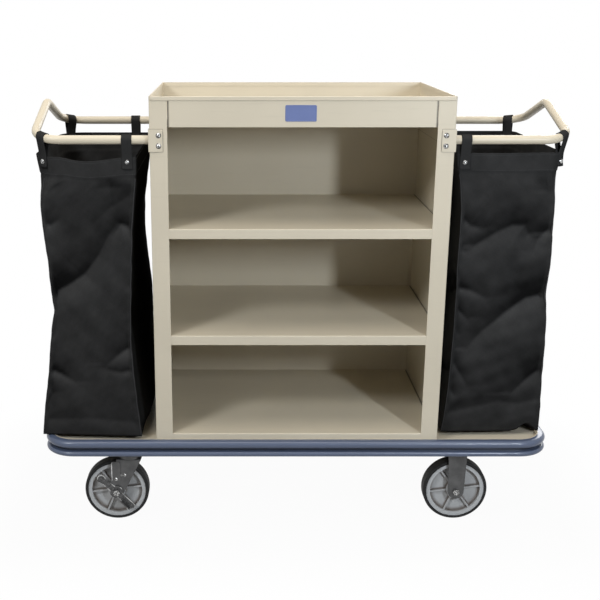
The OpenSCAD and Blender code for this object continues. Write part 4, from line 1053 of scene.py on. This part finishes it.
def strap_path(bags, wall):
    """Line of a strap in its own plane, distance out from the bar's axis against height above it:
    up the inside of the bag's wall, over the bar on a circle, and down the outside to the tail."""
    radius = bags.bar_d / 2 + bags.play + bags.strap_t / 2
    mouth = bags.top_z - bags.bar_z
    neck = mouth + NECK_H
    half = bags.cloth_t / 2 + bags.hem_t + bags.strap_t / 2 + WALL_PLAY
    inner, outer = wall - half, wall + half
    start = tangent_angle(radius, (inner, neck), -1) % (2 * math.pi)
    arc = np.linspace(start, tangent_angle(radius, (outer, neck), 1), ARC_ROWS)
    over = np.stack([np.cos(arc), np.sin(arc)], axis=-1) * radius
    rising = np.linspace(mouth - bags.tail_drop, neck, INNER_ROWS)
    falling = np.linspace(neck, mouth - bags.strap_drop, OUTER_ROWS)
    curl = TAIL_CURL * np.clip((neck - falling - CURL_LOW) / CURL_H, 0, 1) ** 2
    inside = np.stack([np.full(INNER_ROWS, inner), rising], axis=-1)
    return np.concatenate([inside, over, np.stack([outer + curl, falling], axis=-1)])


def strap_points(bags, seat):
    """Webbing carried along a strap's line: a flat band with round edges. Round the bar it leans and
    bows with the bar's slope and bend, and below it bows with the bag's wall."""
    path = strap_path(bags, seat.wall)
    smooth = np.concatenate([path[:1], (path[:-2] + 2 * path[1:-1] + path[2:]) / 4, path[-1:]])
    run = np.gradient(smooth, axis=0)
    run = run / np.linalg.norm(run, axis=1)[:, None]
    normal = np.stack([-run[:, 1], run[:, 0]], axis=-1)
    edge = np.linspace(-np.pi / 2, np.pi / 2, EDGE_STEPS)
    half_w, half_t = bags.strap_w / 2, bags.strap_t / 2
    end = half_w - half_t + half_t * np.cos(edge)
    flat = np.linspace(half_w - half_t, half_t - half_w, FLAT_STEPS + 2)[1:-1]
    wide = np.concatenate([end, flat, -end, -flat])
    thick = half_t * np.concatenate([np.sin(edge), np.ones(FLAT_STEPS)])
    thick = np.concatenate([thick, -thick])
    out = np.array([*seat.facing, 0.0])
    across = np.array([-seat.facing[1], seat.facing[0], 0.0])
    up = np.array([0.0, 0.0, 1.0])
    neck = bags.top_z - bags.bar_z
    on_bar = np.clip((smooth[:, 1:] - neck) / (-bags.bar_d / 4 - neck), 0, 1)
    on_bar = on_bar ** 2 * (3 - 2 * on_bar)
    bow = wide ** 2 * (seat.bar_bow * on_bar + seat.wall_bow * (1 - on_bar))
    lean = wide * seat.slope * on_bar
    line = np.array(seat.place) + smooth[:, :1] * out + smooth[:, 1:] * up
    face = normal[:, :1] * out + normal[:, 1:] * up
    points = line[:, None, :] + wide[None, :, None] * across + thick[None, :, None] * face[:, None, :]
    points = points - bow[:, :, None] * out + lean[:, :, None] * up
    cloth = np.stack(np.broadcast_arrays(wide[None, :], run_lengths(smooth)[:, None]), axis=-1)
    return points, cloth


# Heads and plate


def dome_points(place, out, radius, height):
    """Low rivet head: a quarter ellipse from its rim to its top, turned about Y, facing out (-1 or 1)."""
    lift = np.linspace(0, DOME_END, DOME_ROWS)[:, None]
    turn = -out * np.linspace(0, 2 * np.pi, DOME_SIDES, endpoint=False)
    x = place[0] + radius * np.cos(lift) * np.cos(turn)
    z = place[2] + radius * np.cos(lift) * np.sin(turn)
    y = np.broadcast_to(place[1] + out * height * np.sin(lift), x.shape)
    return np.stack([x, y, z], axis=-1)


def plate_points(plate, face_y):
    """Plate with a raised border: a section of inset against height, carried round a rectangle whose
    corners are quarter circles that shrink with the inset."""
    section = np.array(PLATE_SECTION)
    inset = section[:, :1] * plate.border
    turn = np.linspace(0, 2 * np.pi, PLATE_STEPS, endpoint=False) + np.pi / PLATE_STEPS
    corner = np.maximum(plate.corner - inset, PLATE_LEAST_R)
    half_w = plate.width / 2 - inset - corner
    half_h = plate.height / 2 - inset - corner
    x = plate.middle_x + np.sign(np.cos(turn)) * half_w + corner * np.cos(turn)
    z = plate.middle_z + np.sign(np.sin(turn)) * half_h + corner * np.sin(turn)
    y = np.broadcast_to(face_y - section[:, 1:] * plate.thick + PLATE_SINK, x.shape)
    return np.stack([x, y, z], axis=-1)


# Operators


class CART_OT_coat(bpy.types.Operator):
    """Coat the cabinet, the deck and the handles"""

    bl_idname = "cart.coat"
    bl_label = "Coat the sheet metal"

    def execute(self, context):
        colours = context.scene.cart_colours
        dress(SHEET_METAL, coat_finish("beige_powder_coat", colours.coat))
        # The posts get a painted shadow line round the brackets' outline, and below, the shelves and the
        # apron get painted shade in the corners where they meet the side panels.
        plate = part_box("front_right_bracket")
        dress(POSTS, coat_finish("post_coat", colours.coat, plate=plate))
        for node in SHELVES:
            seam = (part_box(node)[1].x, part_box(node)[1].z + SEAM_SHADE_W)
            dress([node], coat_finish(node + "_coat", colours.coat, seam=seam))
        seam = (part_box("side_panel_right")[0].x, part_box("header_apron")[1].z - APRON_RIM)
        dress(["header_apron"], coat_finish("apron_coat", colours.coat, seam=seam))
        dress(DECK, coat_finish("deck_powder_coat", colours.coat, 0.8))
        dress(TUBES, coat_finish("tube_powder_coat", colours.tube, 0.25))
        return {"FINISHED"}


class CART_OT_bumper(bpy.types.Operator):
    """Finish the vinyl strip round the deck"""

    bl_idname = "cart.bumper"
    bl_label = "Finish the bumper"

    def execute(self, context):
        low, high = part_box("bumper")
        groove = (low.z + 2 * LOWER_BEAD_R + high.z - 2 * UPPER_BEAD_R) / 2
        dress(["bumper"], vinyl_finish(context.scene.cart_colours, groove))
        return {"FINISHED"}


class CART_OT_casters(bpy.types.Operator):
    """Finish the forks, brakes and wheels"""

    bl_idname = "cart.casters"
    bl_label = "Finish the casters"

    def execute(self, context):
        colours = context.scene.cart_colours
        dress(CASTER_STEEL, steel_finish("caster_steel", colours))
        zinc = zinc_finish(colours)
        dress(BRIGHT_PARTS, zinc)
        for wheel in WHEELS:
            dress([wheel + "_core"], core_finish(wheel + "_nylon", colours, axle_of(wheel)))
            dress([wheel + "_tyre"], tyre_finish(wheel + "_rubber", colours, axle_of(wheel)))
        for row, out in ROWS.items():
            axle = axle_of(f"{row}_swivel")
            bracket, lever = f"{row}_brake_bracket", f"{row}_brake_lever"
            # The bracket gets a painted highlight along its low X edge, and the lever painted highlights
            # along its outline.
            dress([bracket], steel_finish(bracket + "_steel", colours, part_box(bracket)[0].x))
            dress([lever], lever_finish(lever + "_steel", colours, axle))
            self.rivets(row, out, axle, zinc)
        return {"FINISHED"}

    def rivets(self, row, out, axle, zinc):
        """The two rivets in the outer leg of a swivel fork, and the bolt head on the brake's bracket."""
        faces = [corner.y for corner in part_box(f"{row}_brake_bracket")][::out]
        heads = [((axle.x + x, faces[0], axle.z + RIVET_Z), RIVET_R, RIVET_H) for x in RIVET_X]
        heads.append(((axle.x, faces[1], axle.z + BRAKE_BOLT_Z), BRAKE_BOLT_R, BRAKE_BOLT_H))
        domes = [
            surface_piece(f"{row}_head", dome_points(place, out, radius, height), zinc, caps=(0, -1))
            for place, radius, height in heads
        ]
        piece = join_pieces(f"{row}_swivel_rivets", domes)
        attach(piece, f"{row}_swivel")


class CART_OT_bags(bpy.types.Operator):
    """Make the two hanging bags with their sewn hems"""

    bl_idname = "cart.bags"
    bl_label = "Make the bags"

    def execute(self, context):
        colours = context.scene.cart_colours
        bags = context.scene.cart_bags
        # The bags' cloth takes painted light and shade from the fold light of its points.
        cloth = cloth_finish("black_cloth", colours.cloth, CLOTH_PITCH, fold_lit=True)
        piping = cloth_finish("black_piping", colours.piping, CLOTH_PITCH)
        thread = thread_finish(colours)
        for spec, handle in ((LEFT_BAG, "left_handle"), (RIGHT_BAG, "right_handle")):
            name = spec["name"]
            points, metres, fade, hem_row, seams = bag_points(spec, bags)
            bag = surface_piece(name + "_cloth", points, cloth, cloth=metres, fade=fade, caps=(0,))
            add_wall(bag, bags.cloth_t)
            seam = join_pieces(name + "_stitching", [
                stitch_row(f"{name}_stitches_{row}", points[hem_row + row], bags, thread)
                for row in HEM_SEAMS
            ])
            cords = [piping_points(line, out, bags.piping_r) for line, out in seams]
            edges = join_pieces(name + "_piping", [
                surface_piece("piping", cord, piping, cloth=cord_metres, caps=(0, -1))
                for cord, cord_metres in cords
            ])
            for piece, slot in (
                (bag, "black_fabric"), (seam, "black_webbing"), (edges, "black_webbing")
            ):
                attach(piece, "cart")
            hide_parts(spec["name"])
        return {"FINISHED"}


class CART_OT_straps(bpy.types.Operator):
    """Make the webbing straps that hang the bags on the bars"""

    bl_idname = "cart.straps"
    bl_label = "Make the straps"

    def execute(self, context):
        bags = context.scene.cart_bags
        webbing = cloth_finish("black_webbing", context.scene.cart_colours.webbing, WEBBING_PITCH, 0.5)
        for side, spec in (("left", LEFT_BAG), ("right", RIGHT_BAG)):
            straps = []
            for row, (x, turn) in spec["straps"].items():
                for seat in (
                    straight_seat(bags, x * MM, row), bent_seat(bags, spec, math.radians(turn), row)
                ):
                    points, metres = strap_points(bags, seat)
                    straps.append(
                        surface_piece(f"{side}_strap", points, webbing, cloth=metres, caps=(0, -1))
                    )
            piece = join_pieces(f"{side}_bag_webbing", straps)
            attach(piece, "cart")
            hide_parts(f"{side}_bag_straps")
        return {"FINISHED"}


class CART_OT_plate(bpy.types.Operator):
    """Make the bare blue plate on the header"""

    bl_idname = "cart.plate"
    bl_label = "Make the label plate"

    def execute(self, context):
        points = plate_points(context.scene.cart_plate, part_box("side_panel_left")[0].y)
        finish = plate_finish(context.scene.cart_colours)
        piece = surface_piece("label_plate", points, finish, caps=(0, -1), smooth=False)
        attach(piece, "cart")
        return {"FINISHED"}


class CART_OT_studio(bpy.types.Operator):
    """Set up the camera, the pale floor and the soft light"""

    bl_idname = "cart.studio"
    bl_label = "Set up the studio"

    def execute(self, context):
        scene = context.scene
        studio = scene.cart_studio
        lens = bpy.data.cameras.new("camera")
        lens.sensor_width = SENSOR_W
        lens.lens = studio.lens
        lens.shift_x = studio.shift
        lens.clip_end = 100
        camera = bpy.data.objects.new("camera", lens)
        camera.location = (studio.camera_x, studio.camera_y, studio.camera_z)
        camera.rotation_euler = (math.pi / 2 - studio.tilt, 0, 0)
        scene.collection.objects.link(camera)
        scene.camera = camera
        for name, lamp in LAMPS.items():
            self.light(scene, name + "_lamp", getattr(studio, name), *lamp)
        self.floor(studio)
        self.world(scene, studio)
        scene.view_settings.view_transform = "Standard"
        return {"FINISHED"}

    def light(self, scene, name, power, size, place, rgb):
        """Lamp of a width and a height, aimed at the cart's middle."""
        lamp = bpy.data.lights.new(name, "AREA")
        lamp.energy = power
        lamp.shape = "RECTANGLE"
        lamp.size, lamp.size_y = size
        lamp.color = rgb
        piece = bpy.data.objects.new(name, lamp)
        piece.location = place
        piece.visible_camera = False
        aim = (CAD_BOX[0] + CAD_BOX[1]) / 2 - piece.location
        piece.rotation_euler = aim.to_track_quat("-Z", "Y").to_euler()
        scene.collection.objects.link(piece)

    def floor(self, studio):
        """Level sheet under the wheels, white to the camera apart from the cart's shadow."""
        reach = np.linspace(-FLOOR_REACH, FLOOR_REACH, FLOOR_STEPS)
        x, y = np.meshgrid(reach, reach)
        finish = Finish("pale_floor", Roughness=0.9, Specular_IOR_Level=0.0)
        finish.shader.inputs["Base Color"].default_value = (*studio.floor, 1)
        past = [(abs(a) - half).higher(0.0) for a, half in zip(finish.axes, CAD_BOX[1][:2])]
        away = past[0].length(past[1])
        white = studio.near_white + away.step(0.0, studio.white_reach) * (1 - studio.near_white)
        glow = finish.node("ShaderNodeEmission", None, {"Color": (1, 1, 1, 1), "Strength": 1.0})
        plain = Field(finish, finish.shader.outputs[0])
        share = finish.seen() * white
        surface = finish.node("ShaderNodeMixShader", None, {0: share, 1: plain, 2: glow})
        finish.tree.links.new(surface.socket, finish.output.inputs["Surface"])
        piece = surface_piece(
            "floor", np.stack([x, y, np.zeros_like(x)], axis=-1), finish.material, closed=False
        )

    def world(self, scene, studio):
        """Even light from all round, and white where the camera looks past the floor."""
        scene.world = bpy.data.worlds.new("studio")
        scene.world.use_nodes = True
        nodes = Nodes(scene.world.node_tree)
        seen = nodes.seen()
        strength = studio.ambient + seen * (1 - studio.ambient)
        tint = nodes.blend(seen, WARM, (1, 1, 1))
        light = nodes.node("ShaderNodeBackground", None, {"Color": tint, "Strength": strength})
        output = nodes.tree.nodes.new("ShaderNodeOutputWorld")
        nodes.tree.links.new(light.socket, output.inputs["Surface"])


class CART_PT_panel(bpy.types.Panel):
    """Steps that dress the cart, in order"""

    bl_label = "Housekeeping cart"
    bl_idname = "CART_PT_panel"
    bl_space_type = "VIEW_3D"
    bl_region_type = "UI"
    bl_category = "Cart"

    def draw(self, context):
        for step in STEPS:
            self.layout.operator(step.bl_idname)
        for group in GROUPS:
            settings = getattr(context.scene, group)
            box = self.layout.box()
            for name in settings.bl_rna.properties.keys()[2:]:
                box.prop(settings, name)


GROUPS = {
    "cart_colours": CartColours,
    "cart_bags": CartBags,
    "cart_plate": CartPlate,
    "cart_studio": CartStudio,
}
STEPS = [
    CART_OT_studio, CART_OT_coat, CART_OT_bumper, CART_OT_casters,
    CART_OT_bags, CART_OT_straps, CART_OT_plate,
]


def register():
    for item in [*GROUPS.values(), *STEPS, CART_PT_panel]:
        bpy.utils.register_class(item)
    for name, group in GROUPS.items():
        setattr(bpy.types.Scene, name, bpy.props.PointerProperty(type=group))


def unregister():
    for name in GROUPS:
        delattr(bpy.types.Scene, name)
    for item in reversed([*GROUPS.values(), *STEPS, CART_PT_panel]):
        bpy.utils.unregister_class(item)


def main():
    register()
    bpy.ops.cart.studio()
    bpy.ops.cart.coat()
    bpy.ops.cart.bumper()
    bpy.ops.cart.casters()
    bpy.ops.cart.bags()
    bpy.ops.cart.straps()
    bpy.ops.cart.plate()


if __name__ == "__main__":
    main()
